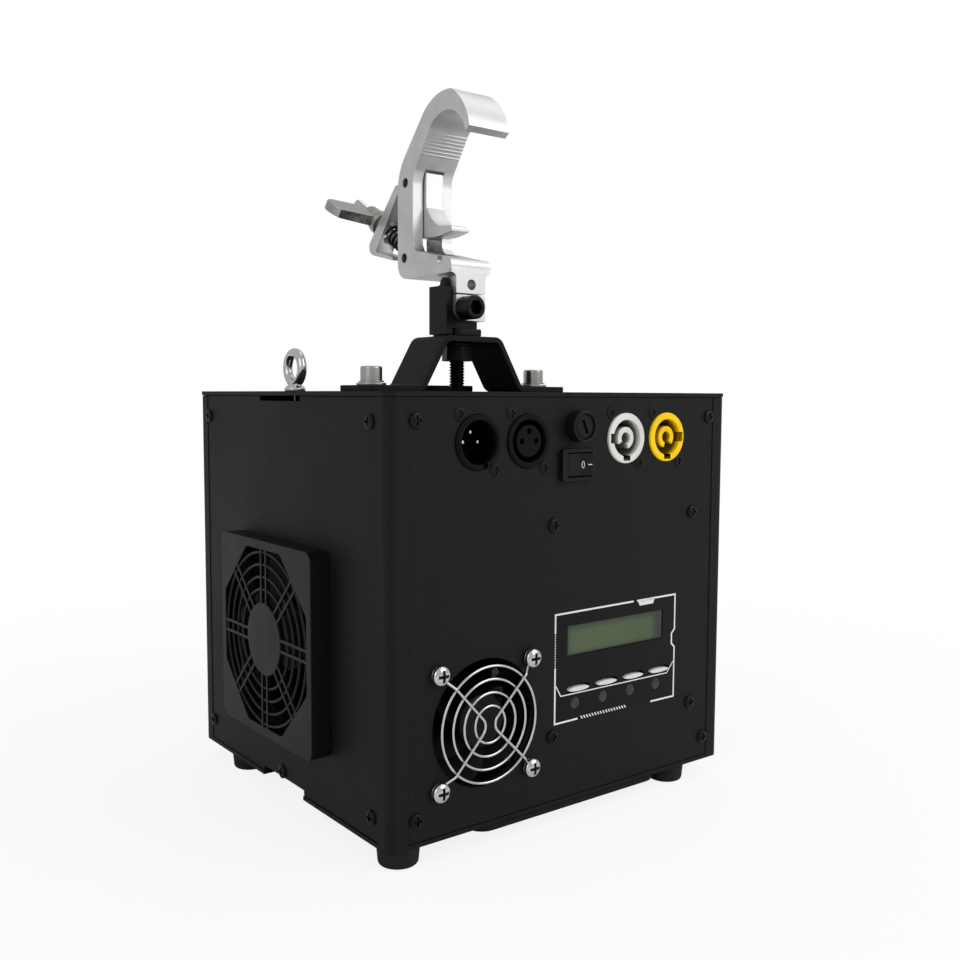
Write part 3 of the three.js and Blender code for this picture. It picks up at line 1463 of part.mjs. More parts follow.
// Clamp body
function clampOutline() {
  const shape = new THREE.Shape();
  const floorY = spineFront - armFillet;
  const floorZ = armNoseHeight + armFloorRise;
  shape.moveTo(armNose + armNoseRadius, 0).lineTo(spineBack - spineFootRadius, 0);
  shape.absarc(spineBack - spineFootRadius, spineFootRadius, spineFootRadius, -Math.PI / 2, 0, false);
  const corner = new THREE.Vector2(spineBack, spineTop);
  const backY = hookCentreY + hookOuterRadius * Math.cos(hookOuterTurn);
  const backZ = hookCentreZ + hookOuterRadius * Math.sin(hookOuterTurn);
  const slope = new THREE.Vector2(backY, backZ).sub(corner).setLength(spineBend).add(corner);
  shape.lineTo(spineBack, spineTop - spineBend);
  shape.quadraticCurveTo(spineBack, spineTop, slope.x, slope.y);
  shape.absarc(hookCentreY, hookCentreZ, hookOuterRadius, hookOuterTurn, hookApexTurn, false);
  const apexY = hookCentreY + hookOuterRadius * Math.cos(hookApexTurn);
  const apexZ = hookCentreZ + hookOuterRadius * Math.sin(hookApexTurn);
  const tipY = hookCentreY + hookInnerRadius * Math.cos(hookLipTurn);
  const tipZ = hookCentreZ + hookInnerRadius * Math.sin(hookLipTurn);
  const outerY = tipY - hookLipThickness;
  const outerZ = tipZ + hookLipRise;
  const bulgeY = (apexY + outerY) / 2 - hookLipBulge;
  const bulgeZ = (apexZ + outerZ) / 2 + hookLipBulgeRise;
  shape.quadraticCurveTo(bulgeY, bulgeZ, outerY, outerZ).lineTo(tipY, tipZ);
  shape.absarc(hookCentreY, hookCentreZ, hookInnerRadius, hookLipTurn, hookInnerTurn, true);
  const gripEnd = new THREE.Vector2(spineFront, gripEndHeight);
  const gripY = hookCentreY + hookInnerRadius * Math.cos(hookInnerTurn);
  const gripZ = hookCentreZ + hookInnerRadius * Math.sin(hookInnerTurn);
  const grip = new THREE.Vector2(gripY, gripZ).sub(gripEnd).setLength(gripBend).add(gripEnd);
  shape.lineTo(grip.x, grip.y);
  shape.quadraticCurveTo(spineFront, gripEndHeight, spineFront, gripEndHeight - gripBend);
  shape.lineTo(spineFront, floorZ + armFillet);
  shape.quadraticCurveTo(spineFront, floorZ, floorY, floorZ);
  shape.lineTo(armNose + armNoseRadius, armNoseHeight);
  shape.quadraticCurveTo(armNose, armNoseHeight, armNose, armNoseHeight - armNoseRadius);
  shape.quadraticCurveTo(armNose, 0, armNose + armNoseRadius, 0);
  return shape;
}

function tongueOutline() {
  const half = tongueWidth / 2;
  const low = tongueLow;
  const high = clampBase + weld;
  const shape = new THREE.Shape();
  shape.moveTo(-half + tongueCornerRadius, low).lineTo(half, low).lineTo(half, clampBase - tongueFillet);
  shape.quadraticCurveTo(half, clampBase, half + tongueFillet, clampBase).lineTo(half + tongueFillet, high);
  shape.lineTo(-half - tongueFillet, high).lineTo(-half - tongueFillet, clampBase);
  shape.quadraticCurveTo(-half, clampBase, -half, clampBase - tongueFillet);
  shape.lineTo(-half, low + tongueCornerRadius);
  shape.quadraticCurveTo(-half, low, -half + tongueCornerRadius, low);
  return shape;
}

function clampBody() {
  const half = clampWidth / 2;
  const hook = sidePlate(clampOutline(), -half, half, 12).translate(0, 0, clampBase);
  const tongue = frontPlate(tongueOutline(), armNose, tongueBack, 6);
  const slit = clampSlitTool();
  const slot = block(
    -slotWidth / 2,
    slotWidth / 2,
    slotFront,
    spineBack + overrun,
    clampBase + slotFloor,
    clampBase + slotTop,
  );
  const tools = [slit, slot];
  const boltHole = rod(yokeBoltRadius + yokeBoltClearance, armNose - overrun, tongueBack + overrun);
  tools.push(alongY(boltHole, yokeBoltX, yokeBase + yokeBoltRise));
  const pinchHole = rod(pinchHoleRadius, armNose - overrun, armNose + pinchHoleDepth);
  tools.push(alongY(pinchHole, 0, tongueLow + pinchHoleHeight, coarse));
  const pinHole = rod(pinRadius + pinClearance, -half - overrun, half + overrun);
  tools.push(alongX(pinHole, jawPinY, clampBase + jawPinZ, coarse));
  tools.push(alongX(pinHole, studPinY, clampBase + studPinZ, coarse));
  return cut(join(hook, tongue), ...tools);
}

function clampSlitTool() {
  const half = tongueWidth / 2 + overrun;
  const low = tongueLow + slitHeight;
  return block(-half, half, armNose - overrun, armNose + slitDepth, low, low + slitWidth);
}

function clampPin(y, z) {
  const half = clampWidth / 2 - fit;
  return alongX(rod(pinRadius, -half, half), y, clampBase + z, coarse);
}

// Jaw: eye on the pin, face in the slot, saddle, ledge and leg
function clampJaw() {
  const shape = new THREE.Shape();
  shape.moveTo(jawFaceY, jawFaceTop).lineTo(jawFaceY, jawFaceLow);
  const saddleBend = jawSaddleY + (jawFaceY - jawSaddleY) * jawSaddleShare;
  shape.quadraticCurveTo(saddleBend, jawSaddleZ + jawSaddleRise, jawSaddleY, jawSaddleZ);
  shape.lineTo(jawLedgeY + jawLedgeChamfer, jawLedgeZ);
  shape.lineTo(jawLedgeY, jawLedgeZ - jawLedgeThickness / 2);
  shape.lineTo(jawLedgeY + 2 * jawLedgeChamfer, jawLedgeZ - jawLedgeThickness);
  shape.lineTo(jawFaceY, jawBellyZ).lineTo(jawFaceY, jawLegFoot).lineTo(jawLegBack, jawLegFoot);
  shape.lineTo(jawLegBack, jawBellyZ).lineTo(jawBack, jawBackLow).lineTo(jawPinY + jawEyeRadius, jawPinZ);
  shape.absarc(jawPinY, jawPinZ, jawEyeRadius, 0, Math.PI / 2, false);
  shape.lineTo(jawFaceY, jawFaceTop);
  const half = jawWidth / 2;
  const blank = sidePlate(shape, -half, half, 8).translate(0, 0, clampBase);
  const bore = rod(pinRadius + pinClearance, -half - overrun, half + overrun);
  return cut(blank, alongX(bore, jawPinY, clampBase + jawPinZ, coarse));
}

// Trigger plate: thin at its root, thicker at its lower bend, with a slot along the stud's axis
function triggerPlate() {
  const rootY = jawPinY + jawEyeRadius + fit;
  const rootLow = triggerTopZ - triggerRootThickness;
  const shape = new THREE.Shape();
  shape.moveTo(rootY, triggerTopZ).lineTo(rootY, rootLow);
  shape.lineTo(triggerTopReach - triggerInnerSetback, rootLow);
  shape.lineTo(triggerTailStart - triggerTailSetback, triggerTailTop);
  shape.lineTo(triggerTailEnd, triggerTailZ + triggerTailThickness).lineTo(triggerTailEnd, triggerTailZ);
  shape.lineTo(triggerTailStart, triggerTailTop - triggerTailThickness);
  shape.quadraticCurveTo(triggerBendReach, triggerBendZ, triggerLowReach, triggerLowZ);
  shape.lineTo(triggerTopReach, triggerTopZ).closePath();
  const half = triggerWidth / 2;
  const plate = sidePlate(shape, -half, half, 5).translate(0, 0, clampBase);
  const slot = rounded(0, 0, triggerSlotWidth, triggerSlotLength, triggerSlotWidth / 2);
  const tool = flatPlate(slot, studCollarStart, studLength, 6).rotateX(studTilt - Math.PI / 2);
  return cut(plate, tool.translate(0, studPinY, clampBase + studPinZ));
}

// Everything on the stud is drawn along Z from the stud's pin and turned as one group
function swingStud() {
  const half = studEyeWidth / 2;
  const eye = alongX(rod(studEyeRadius, -half, half), 0, 0);
  const collarEnd = studCollarStart + studCollarLength;
  const profile = [[0, 0], [studRadius, 0], [studRadius, studCollarStart]];
  profile.push([studCollarRadius, studCollarStart], [studCollarRadius, collarEnd]);
  profile.push([studRadius, collarEnd], [studRadius, studLength], [0, studLength]);
  const whole = join(eye, turned(profile, coarse));
  return cut(whole, alongX(rod(pinRadius + pinClearance, -half - overrun, half + overrun), 0, 0, coarse));
}

function clampSpring() {
  const start = studCollarStart + studCollarLength + fit + springWireRadius;
  const helix = new Helix(springRadius, springLength, springTurns);
  return wire(helix, springWireRadius, springTurns * coarse, 5).translate(0, 0, start);
}

function studWasher() {
  const end = studWasherStart + studWasherThickness;
  return turned(pipe(studWasherRadius, studRadius + nutBoreClearance, studWasherStart, end), medium);
}

function wingNut() {
  const low = studWasherStart + studWasherThickness + fit;
  const foot = low + nutFootLength;
  const high = low + nutLength;
  const profile = [[0, low], [nutFootRadius, low], [nutFootRadius, foot], [nutHeadRadius, foot]];
  profile.push([nutHeadRadius, high], [0, high]);
  const half = wingSpan / 2;
  const tip = half - wingTipRadius;
  const pieces = [turned(profile, coarse)];
  for (const side of [-1, 1]) {
    const wing = new THREE.Shape();
    wing.moveTo(0, wingRootLow).lineTo(nutFootRadius, wingRootLow);
    wing.quadraticCurveTo(tip, wingRootLow, half, wingTipLow + wingTipRadius);
    wing.quadraticCurveTo(half, wingTipHigh, tip, wingTipHigh);
    wing.quadraticCurveTo(tip / 2, wingRootHigh, 0, wingRootHigh).closePath();
    const plate = frontPlate(wing, -wingThickness / 2, wingThickness / 2, 5);
    pieces.push(side < 0 ? plate.rotateZ(Math.PI) : plate);
  }
  pieces[1].translate(0, 0, low);
  pieces[2].translate(0, 0, low);
  const bore = rod(studRadius + nutBoreClearance, low - overrun, high + wingTipHigh);
  return cut(join(...pieces), turned(bore, coarse)).rotateZ(nutTurn);
}

function buildHanging() {
  place("hanging_strap", hangingStrap(), powderCoat);
  place("strap_bolt_left", strapBolt(-strapBoltX), zincSteel);
  place("strap_bolt_right", strapBolt(strapBoltX), zincSteel);
  place("safety_eye_bolt", safetyEye(), brightSteel);
  place("swivel_bolt", swivelBolt(), blackSteel);
  place("swivel_nut", swivelNut(), blackSteel);
  place("swivel_yoke", swivelYoke(), blackSteel);
  place("yoke_bolt", yokeBolt(), blackSteel);
  place("clamp_body", clampBody(), aluminium);
  place("clamp_jaw", clampJaw(), aluminium);
  place("jaw_pin", clampPin(jawPinY, jawPinZ), blackSteel);
  place("stud_pin", clampPin(studPinY, studPinZ), blackSteel);
  place("trigger_plate", triggerPlate(), aluminium);
  const stud = new THREE.Group();
  stud.position.set(0, studPinY, clampBase + studPinZ);
  stud.rotation.x = studTilt - Math.PI / 2;
  place("swing_stud", swingStud(), zincSteel, stud);
  place("clamp_spring", clampSpring(), blackSteel, stud);
  place("stud_washer", studWasher(), zincSteel, stud);
  place("wing_nut", wingNut(), zincSteel, stud);
  machine.add(stud);
}

buildCase();
buildSockets();
buildControls();
buildFans();
buildInside();
buildHanging();

// The reference point is on the ground, under the middle of the whole machine
const whole = new THREE.Box3().setFromObject(machine);
const middle = whole.getCenter(new THREE.Vector3());
machine.position.set(-middle.x, -middle.y, -whole.min.z);

export default machine;
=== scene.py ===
"""A cold spark machine that hangs from a bar by a hook clamp, dressed over its fixed frame."""

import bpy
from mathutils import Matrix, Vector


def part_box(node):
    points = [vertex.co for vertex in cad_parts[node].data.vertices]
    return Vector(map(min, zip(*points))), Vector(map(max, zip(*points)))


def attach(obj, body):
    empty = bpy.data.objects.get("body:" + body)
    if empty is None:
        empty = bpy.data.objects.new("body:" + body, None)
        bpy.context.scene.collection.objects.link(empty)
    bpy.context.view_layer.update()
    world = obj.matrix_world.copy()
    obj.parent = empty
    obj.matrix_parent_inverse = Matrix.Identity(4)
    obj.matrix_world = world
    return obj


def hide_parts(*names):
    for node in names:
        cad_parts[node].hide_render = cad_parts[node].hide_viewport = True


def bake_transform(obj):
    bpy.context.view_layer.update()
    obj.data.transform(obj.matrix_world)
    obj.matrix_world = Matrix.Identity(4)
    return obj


bl_info = {
    "name": "Cold Spark Machine",
    "version": (1, 0, 0),
    "blender": (4, 5, 0),
    "location": "3D View > Sidebar > Spark Machine",
    "description": "Builds the case, sockets, fans and hook clamp of a cold spark machine",
    "category": "Object",
}

import functools
import math

import bmesh
import bpy
from mathutils import Matrix, Vector

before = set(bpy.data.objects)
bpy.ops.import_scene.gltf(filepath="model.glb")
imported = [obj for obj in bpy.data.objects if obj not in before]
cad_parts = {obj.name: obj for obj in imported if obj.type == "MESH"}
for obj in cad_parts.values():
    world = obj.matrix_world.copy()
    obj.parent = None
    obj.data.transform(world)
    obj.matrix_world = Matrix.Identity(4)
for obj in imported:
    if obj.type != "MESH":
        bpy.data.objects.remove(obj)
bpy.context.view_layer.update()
MM = 0.001

# Heights and places of the case, in millimetres about the middle of the case's underside
CASE_HEIGHT = 189.4
FRONT = -93.5
LEFT = -101.7
SHEET = 1.6
PANEL_LOW, PANEL_HIGH = 2.25, 187.15
BEHIND = 1.85  # from a panel's outer face to what is fixed behind it
GAP = 0.25  # between neighbouring pieces
ROOF_LOW, ROOF_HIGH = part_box("top_plate")
CASE = Vector(
    ((ROOF_LOW.x + ROOF_HIGH.x) / 2, (ROOF_LOW.y + ROOF_HIGH.y) / 2, ROOF_HIGH.z - CASE_HEIGHT * MM)
)
SOCKETS = {"dmx_in": -57.2, "dmx_out": -29.5, "power_out": 30.5, "power_in": 58.3}
SOCKET_Z = 168.0
SOCKET_FACE = FRONT - 1.1
FUSE = (-1, 174)
SWITCH = (-1.2, 156.6)
WINDOW = (26.6, 75.45)
KEY_X, KEY_STEP = 1.9, 18.05
LAMP_X, LAMP_Z = 0.2, 45.6
FRONT_FAN = (-52.4, 46.5)
SIDE_FAN = (0.4, 73.5)
FOOT_X = {"left": -91, "right": 73}
FOOT_Y = {"front": -83.3, "rear": 60.6}

# Heights and places of the strap and the clamp
STRAP_TOP = 218.0
YOKE = 222.1
YOKE_SCREW = (-4.3, YOKE + 9.9)
CLAMP = 249.8
JAW_PIN = (29.9, 50.4)
STUD_PIN = (31, 11.1)
STUD_TILT = math.pi / 6
STUD = Matrix.Translation((0, 31, CLAMP + 11.1)) @ Matrix.Rotation(STUD_TILT - math.pi / 2, 4, "X")


def length(name, value, text):
    """A length that a user can change, in metres."""
    return bpy.props.FloatProperty(
        name=name, description=text, default=value * MM, unit="LENGTH", precision=5
    )


def tint(name, value, text):
    """A colour that a user can change."""
    return bpy.props.FloatVectorProperty(
        name=name, description=text, default=value, size=3, subtype="COLOR", min=0.0, max=1.0
    )


class CaseSizes(bpy.types.PropertyGroup):
    """Sizes of the case and of what its panels carry."""

    edge: length("Sheet edge", 0.35, "Rounding of the bent and cut sheet edges")
    panel_screw: length("Panel screw head", 6.6, "Diameter of the black panel screws")
    socket_screw: length("Socket screw head", 6.0, "Diameter of the sockets' countersunk screws")
    guard_screw: length("Guard screw head", 8.6, "Diameter of the bright screws on the wire guard")
    guard_wire: length("Guard wire", 1.25, "Diameter of the wire guard's wire")
    line: length("Printed line", 0.85, "Width of the lines printed round the display")
    grille_bar: length("Grille bar", 1.5, "Diameter of the moulded guard's bars")


class ClampSizes(bpy.types.PropertyGroup):
    """Sizes of the clamp and of its bolts."""

    edge: length("Casting edge", 0.9, "Rounding of the cast edges")
    rib: length("Grip rib", 0.62, "Height of the ribs in the hook's grip")
    swivel_pitch: length("Swivel bolt pitch", 1.5, "Thread pitch of the swivel bolt")
    stud_pitch: length("Stud pitch", 1.0, "Thread pitch of the swing stud")
    knurl: length("Knurl depth", 0.3, "Depth of the knurls on the bolt heads")
    spring_wire: length("Spring wire", 1.6, "Diameter of the clamp spring's wire")


class Colours(bpy.types.PropertyGroup):
    """Colours of the finishes."""

    coat: tint("Powder coat", (0.0055, 0.0056, 0.0063), "Textured black coat on the case")
    plastic: tint("Black plastic", (0.0045, 0.0045, 0.005), "Moulded black parts")
    dark_steel: tint("Blackened steel", (0.0045, 0.0045, 0.005), "Yoke, bolts and nut")
    rubber: tint("Rubber", (0.0075, 0.0075, 0.0078), "Feet")
    casting: tint("Cast aluminium", (0.6, 0.605, 0.61), "Hook clamp")
    bright: tint("Bright steel", (0.6, 0.595, 0.585), "Wire guard, its screws and the eye bolt")
    zinc: tint("Zinc plate", (0.5, 0.49, 0.465), "Wing nut, stud and washer")
    white: tint("White plastic", (0.72, 0.715, 0.68), "Power outlet and buttons")
    yellow: tint("Yellow plastic", (0.97, 0.6, 0.0), "Power inlet")
    display: tint("Display", (0.083, 0.112, 0.06), "The display's lit area")
    lamp: tint("Lamps", (0.03, 0.032, 0.034), "Status lamps when off")
    print_white: tint("Print", (0.78, 0.78, 0.78), "Lines and marks on the panel")


def case_size(name):
    """One of the case's sizes, in millimetres."""
    return getattr(bpy.context.scene.spark_case, name) / MM


def clamp_size(name):
    """One of the clamp's sizes, in millimetres."""
    return getattr(bpy.context.scene.spark_clamp, name) / MM


# Node trees of materials, of the world and of repeated pieces
class Term:
    """A value in a node tree that plain sums can use."""

    def __init__(self, graph, socket):
        self.graph = graph
        self.socket = socket

    def __add__(self, other):
        return self.graph.sum_of("ADD", self, other)

    __radd__ = __add__

    def __mul__(self, other):
        return self.graph.sum_of("MULTIPLY", self, other)

    def within(self, low, high):
        """Runs from 0 at the low value to 1 at the high one."""
        inputs = {"Value": self, "From Min": low, "From Max": high}
        return self.graph.node("ShaderNodeMapRange", {"clamp": True}, inputs)


class Graph:
    """A node tree under construction."""

    def __init__(self, tree):
        self.tree = tree
        tree.nodes.clear()

    def node(self, kind, settings=None, inputs=None, output=0):
        """Adds a node and gives one of its outputs; inputs go by name or in order."""
        made = self.tree.nodes.new(kind)
        for key, value in (settings or {}).items():
            setattr(made, key, value)
        pairs = inputs.items() if isinstance(inputs, dict) else enumerate(inputs or [])
        for key, value in pairs:
            if isinstance(value, Term):
                self.tree.links.new(value.socket, made.inputs[key])
            elif isinstance(value, tuple) and made.inputs[key].type == "RGBA":
                made.inputs[key].default_value = (*value, 1.0)
            else:
                made.inputs[key].default_value = value
        return Term(self, made.outputs[output]) if made.outputs else made

    def sum_of(self, operation, *values):
        return self.node("ShaderNodeMath", {"operation": operation}, values)


class Paint(Graph):
    """A material under construction."""

    def __init__(self, name):
        self.material = bpy.data.materials.new(name)
        self.material.use_nodes = True
        super().__init__(self.material.node_tree)

    def place(self):
        return self.node("ShaderNodeTexCoord", output="Object")

    def axis(self, index):
        return self.node("ShaderNodeSeparateXYZ", {}, [self.place()], output=index)

    def stretched(self, *scale):
        return self.node("ShaderNodeVectorMath", {"operation": "MULTIPLY"}, [self.place(), scale])

    def noise(self, scale, detail=2.0, vector=None, rough=0.5):
        inputs = {"Vector": vector or self.place(), "Scale": scale, "Detail": detail, "Roughness": rough}
        return self.node("ShaderNodeTexNoise", {}, inputs)

    def blend(self, share, first, second):
        return self.node("ShaderNodeMix", {"data_type": "RGBA"}, {0: share, 6: first, 7: second}, output=2)

    def bump(self, height, strength, distance):
        return self.node("ShaderNodeBump", {}, {"Height": height, "Strength": strength, "Distance": distance})

    def finish(self, **inputs):
        names = {key.replace("_", " ").title().replace("Ior", "IOR"): value for key, value in inputs.items()}
        shader = self.node("ShaderNodeBsdfPrincipled", {}, names)
        self.node("ShaderNodeOutputMaterial", {}, [shader])
        return self.material


def shade(colour, share):
    """A darker or lighter shade of a colour."""
    return tuple(min(1.0, channel * share) for channel in colour)


def powder_coat(colour):
    """Fine wrinkled powder coat, a little duller where it has been rubbed."""
    paint = Paint("powder_coat")
    grain = paint.noise(1500, 3.0, rough=0.6)
    wrinkle = paint.node("ShaderNodeTexVoronoi", {}, {"Vector": paint.place(), "Scale": 1050})
    rubbed = paint.noise(16, 4.0, rough=0.6).within(0.35, 0.7)
    base = paint.blend(rubbed * 0.7, shade(colour, 0.86), shade(colour, 1.2))
    base = paint.blend(grain.within(0.5, 0.78) * 0.6, base, shade(colour, 2.3))
    normal = paint.bump(grain * 0.6 + wrinkle * 0.5, 0.6, 0.00014)
    return paint.finish(base_color=base, roughness=0.5 + rubbed * 0.1, specular_ior_level=0.14, normal=normal)


def moulded(name, colour, roughness, specular=0.2, well=None):
    """Moulded plastic with a fine spark-eroded skin, faint flow marks and, in a socket, painted shade that
    darkens the well with depth.
    """
    paint = Paint(name)
    flow = paint.noise(60, 3.0).within(0.3, 0.72)
    skin = paint.noise(2600, 2.0)
    base = paint.blend(flow, shade(colour, 0.9), shade(colour, 1.08))
    if well:
        # Painted shade: from 0.1 to 2.4 mm behind the panel's face the colour turns to the given well colour,
        # which stands in for the shade inside a socket.
        depth = paint.axis(1).within(CASE.y + (FRONT + 0.1) * MM, CASE.y + (FRONT + 2.4) * MM)
        base = paint.blend(depth, base, well)
    normal = paint.bump(skin, 0.25, 0.00006)
    return paint.finish(
        base_color=base, roughness=roughness + flow * 0.08, specular_ior_level=specular, normal=normal
    )


def rubbery(colour):
    """Matt rubber with a dusty bloom."""
    paint = Paint("rubber")
    dust = paint.noise(180, 5.0, rough=0.7).within(0.45, 0.75)
    base = paint.blend(dust * 0.6, colour, shade(colour, 2.4))
    normal = paint.bump(paint.noise(1300, 3.0), 0.35, 0.0001)
    return paint.finish(base_color=base, roughness=0.72 + dust * 0.12, specular_ior_level=0.25, normal=normal)


def cast(colour):
    """Shot-blasted cast aluminium: fine pits, soft mottling and a few handling marks."""
    paint = Paint("cast_aluminium")
    pits = paint.noise(1900, 3.0, rough=0.65)
    mottle = paint.noise(70, 4.0).within(0.3, 0.72)
    marks = paint.noise(140, 2.0, paint.stretched(1.0, 0.25, 6.0)).within(0.62, 0.68)
    base = paint.blend(mottle, shade(colour, 0.92), shade(colour, 1.08))
    base = paint.blend(marks * 0.3, base, shade(colour, 0.8))
    normal = paint.bump(pits, 0.3, 0.00009)
    return paint.finish(base_color=base, metallic=0.9, roughness=0.36 + mottle * 0.1, normal=normal)


def plated(name, colour, roughness, streak=0.2, metallic=1.0, specular=0.5):
    """Plated or blackened steel with faint drawing streaks and finger smears."""
    paint = Paint(name)
    streaks = paint.noise(220, 4.0, paint.stretched(1.0, 1.0, 7.0), 0.6).within(0.3, 0.7)
    smears = paint.noise(90, 3.0).within(0.35, 0.75)
    return paint.finish(
        base_color=paint.blend(streaks * streak + smears * 0.2, colour, shade(colour, 0.66)),
        metallic=metallic,
        specular_ior_level=specular,
        roughness=roughness + smears * 0.1 + streaks * 0.05,
        normal=paint.bump(streaks + smears, 0.12, 0.00003),
    )


def display_face(colour):
    """A character display behind its filter: a faint row and column grid on a lit green ground."""
    paint = Paint("display_face")
    across, upward = paint.axis(0), paint.axis(2)
    column, row = paint.sum_of("FRACT", across * 260.0), paint.sum_of("FRACT", upward * 150.0)
    cell = (column.within(0.04, 0.12) * row.within(0.05, 0.16)) * 0.10
    glow = paint.noise(38, 2.0).within(0.3, 0.7)
    base = paint.blend(glow * 0.35 + cell, shade(colour, 0.86), shade(colour, 1.18))
    left, low = CASE.x - 0.0052, CASE.z + 0.0683
    lit = across.within(left, left + 0.003) * across.within(left + 0.0595, left + 0.0545)
    lit = lit * upward.within(low, low + 0.0022) * upward.within(low + 0.0143, low + 0.0105)
    base = paint.blend(lit * 0.85 + 0.15, (0.035, 0.04, 0.04), base)
    return paint.finish(
        base_color=base,
        roughness=0.2 + glow * 0.04,
        specular_ior_level=0.12,
        coat_weight=0.05,
        coat_roughness=0.08,
    )


def lamp_glass(colour):
    """A dark lens that lets a little of the inside through."""
    paint = Paint("lamp_glass")
    depth = paint.noise(420, 2.0).within(0.35, 0.7)
    base = paint.blend(depth, colour, shade(colour, 1.7))
    return paint.finish(base_color=base, roughness=0.34 + depth * 0.06, specular_ior_level=0.15)


def board_green():
    """Circuit board lacquer over copper tracks."""
    paint = Paint("board_green")
    tracks = paint.sum_of("FRACT", (paint.axis(0) + paint.axis(2) * 0.5) * 420.0)
    base = paint.blend(tracks.within(0.42, 0.5) * 0.5, (0.008, 0.075, 0.03), (0.02, 0.16, 0.06))
    return paint.finish(base_color=base, roughness=0.35 + paint.noise(90) * 0.1)


@functools.cache
def finishes():
    """Every material by its short name, made once."""
    colours = bpy.context.scene.spark_colours
    names = Colours.__annotations__
    coat, plastic, dark_steel, rubber, casting, bright, zinc, white, yellow, display, lamp, print_white = (
        tuple(getattr(colours, name)) for name in names
    )
    return {
        "powder_coat": powder_coat(coat),
        "black_plastic": moulded("black_plastic", plastic, 0.38, 0.16),
        # The last colour of black_socket is painted shade: near-black darkening of the socket wells, not a
        # colour of the plastic.
        "black_socket": moulded("black_socket", plastic, 0.5, 0.07, (0.0004, 0.0004, 0.0004)),
        "film": moulded("display_film", shade(plastic, 0.85), 0.3, 0.12),
        "black_steel": plated("blackened_steel", dark_steel, 0.34, 0.25, 0.3, 0.2),
        "rubber": rubbery(rubber),
        "aluminium": cast(casting),
        "bright_steel": plated("bright_steel", bright, 0.1, 0.05),
        "zinc_steel": plated("zinc_steel", zinc, 0.24, 0.35),
        "nickel": plated("nickel_plate", shade(zinc, 0.9), 0.18, 0.3),
        "dark_zinc": plated("dark_zinc", shade(zinc, 0.8), 0.22, 0.4),
        "white_plastic": moulded("white_plastic", white, 0.36),
        # The last colours of white_socket and yellow_plastic are painted shade for the socket wells:
        # grey-green and dark amber that stand in for the shade there.
        "white_socket": moulded("white_socket", white, 0.36, 0.2, (0.15, 0.155, 0.125)),
        "yellow_plastic": moulded("yellow_plastic", yellow, 0.36, 0.2, (0.2, 0.12, 0.004)),
        "display_glass": display_face(display),
        "lamp_plastic": lamp_glass(lamp),
        "board": board_green(),
        "copper": plated("contact_metal", (0.62, 0.5, 0.28), 0.24, 0.2),
        "heater": plated("heater_wire", (0.42, 0.2, 0.1), 0.4, 0.3),
        "cast_iron": plated("cast_iron", (0.1, 0.095, 0.09), 0.55, 0.6, 0.7),
        "stainless": plated("stainless", (0.42, 0.42, 0.425), 0.3, 0.4),
        "printed": moulded("printed_line", print_white, 0.5, 0.2),
    }


# Outlines in a plane
def arc(x, y, radius, start, end, steps=12):
    """Points on part of a circle, angles in degrees."""
    turns = [math.radians(start + (end - start) * step / steps) for step in range(steps + 1)]
    return [(x + radius * math.cos(turn), y + radius * math.sin(turn)) for turn in turns]


def curve(start, bend, end, steps=12):
    """Points on a quadratic bend, after its first point."""
    shares = [step / steps for step in range(1, steps + 1)]
    return [
        tuple((1 - t) ** 2 * a + 2 * t * (1 - t) * b + t * t * c for a, b, c in zip(start, bend, end))
        for t in shares
    ]


def towards(start, goal, reach):
    """The point a given way from one point to another."""
    first = Vector(start)
    return tuple(first + (Vector(goal) - first).normalized() * reach)


def ring_of(x, y, radius, steps=48):
    return arc(x, y, radius, 0, 360, steps)[:-1]


def oval(x, y, width, height, steps=40):
    return [(x + width / 2 * u, y + height / 2 * v) for u, v in ring_of(0, 0, 1, steps)]


def polygon(sides, flat, turn=0.0):
    """A regular polygon about zero, by its half width across the flats and its turn in radians."""
    start = math.degrees(turn)
    return arc(0, 0, flat / math.cos(math.pi / sides), start, start + 360, sides)[:-1]


def softened(points, radius, steps=4, closed=True):
    """The same route with each corner swapped for an arc; one radius, or one for each corner."""
    count = len(points)
    radii = radius if isinstance(radius, list) else [radius] * count
    out = []
    for index, point in enumerate(points):
        here = Vector(point)
        if not closed and index in (0, count - 1) or radii[index] <= 0:
            out.append(tuple(here))
            continue
        into, onward = here - Vector(points[index - 1]), Vector(points[(index + 1) % count]) - here
        turn = into.angle(onward)
        if turn < 0.02:
            out.append(tuple(here))
            continue
        setback = min(radii[index] * math.tan(turn / 2), 0.48 * into.length, 0.48 * onward.length)
        bend = setback / math.tan(turn / 2)
        inward = (onward.normalized() - into.normalized()).normalized()
        centre = here + inward * (bend / math.cos(turn / 2))
        first = here - into.normalized() * setback - centre
        last = here + onward.normalized() * setback - centre
        for step in range(steps + 1):
            share = step / steps
            spot = (math.sin((1 - share) * turn) * first + math.sin(share * turn) * last) / math.sin(turn)
            out.append(tuple(centre + spot))
    return out


def box_of(x, y, width, height, radius=0.0, steps=4):
    """A rectangle about a point, with rounded corners if asked."""
    a, b = width / 2, height / 2
    corners = [(x - a, y - b), (x + a, y - b), (x + a, y + b), (x - a, y + b)]
    return softened(corners, radius, steps) if radius else corners


def strip(route, thickness):
    """The outline of a bent strip of constant thickness along a route in a plane."""
    points = [Vector(point) for point in route]
    left, right = [], []
    for index, point in enumerate(points):
        into = (point - points[index - 1]) if index else (points[1] - point)
        onward = (points[index + 1] - point) if index < len(points) - 1 else into
        along = (into.normalized() + onward.normalized()).normalized()
        side = Vector((-along.y, along.x)) * (thickness / 2 / max(along.dot(into.normalized()), 0.3))
        left.append(tuple(point + side))
        right.insert(0, tuple(point - side))
    return left + right


# Solids in millimetres
PLANES = {
    "xy": lambda u, v, w: (u, v, w),
    "xz": lambda u, v, w: (u, w, v),
    "yz": lambda u, v, w: (w, u, v),
}


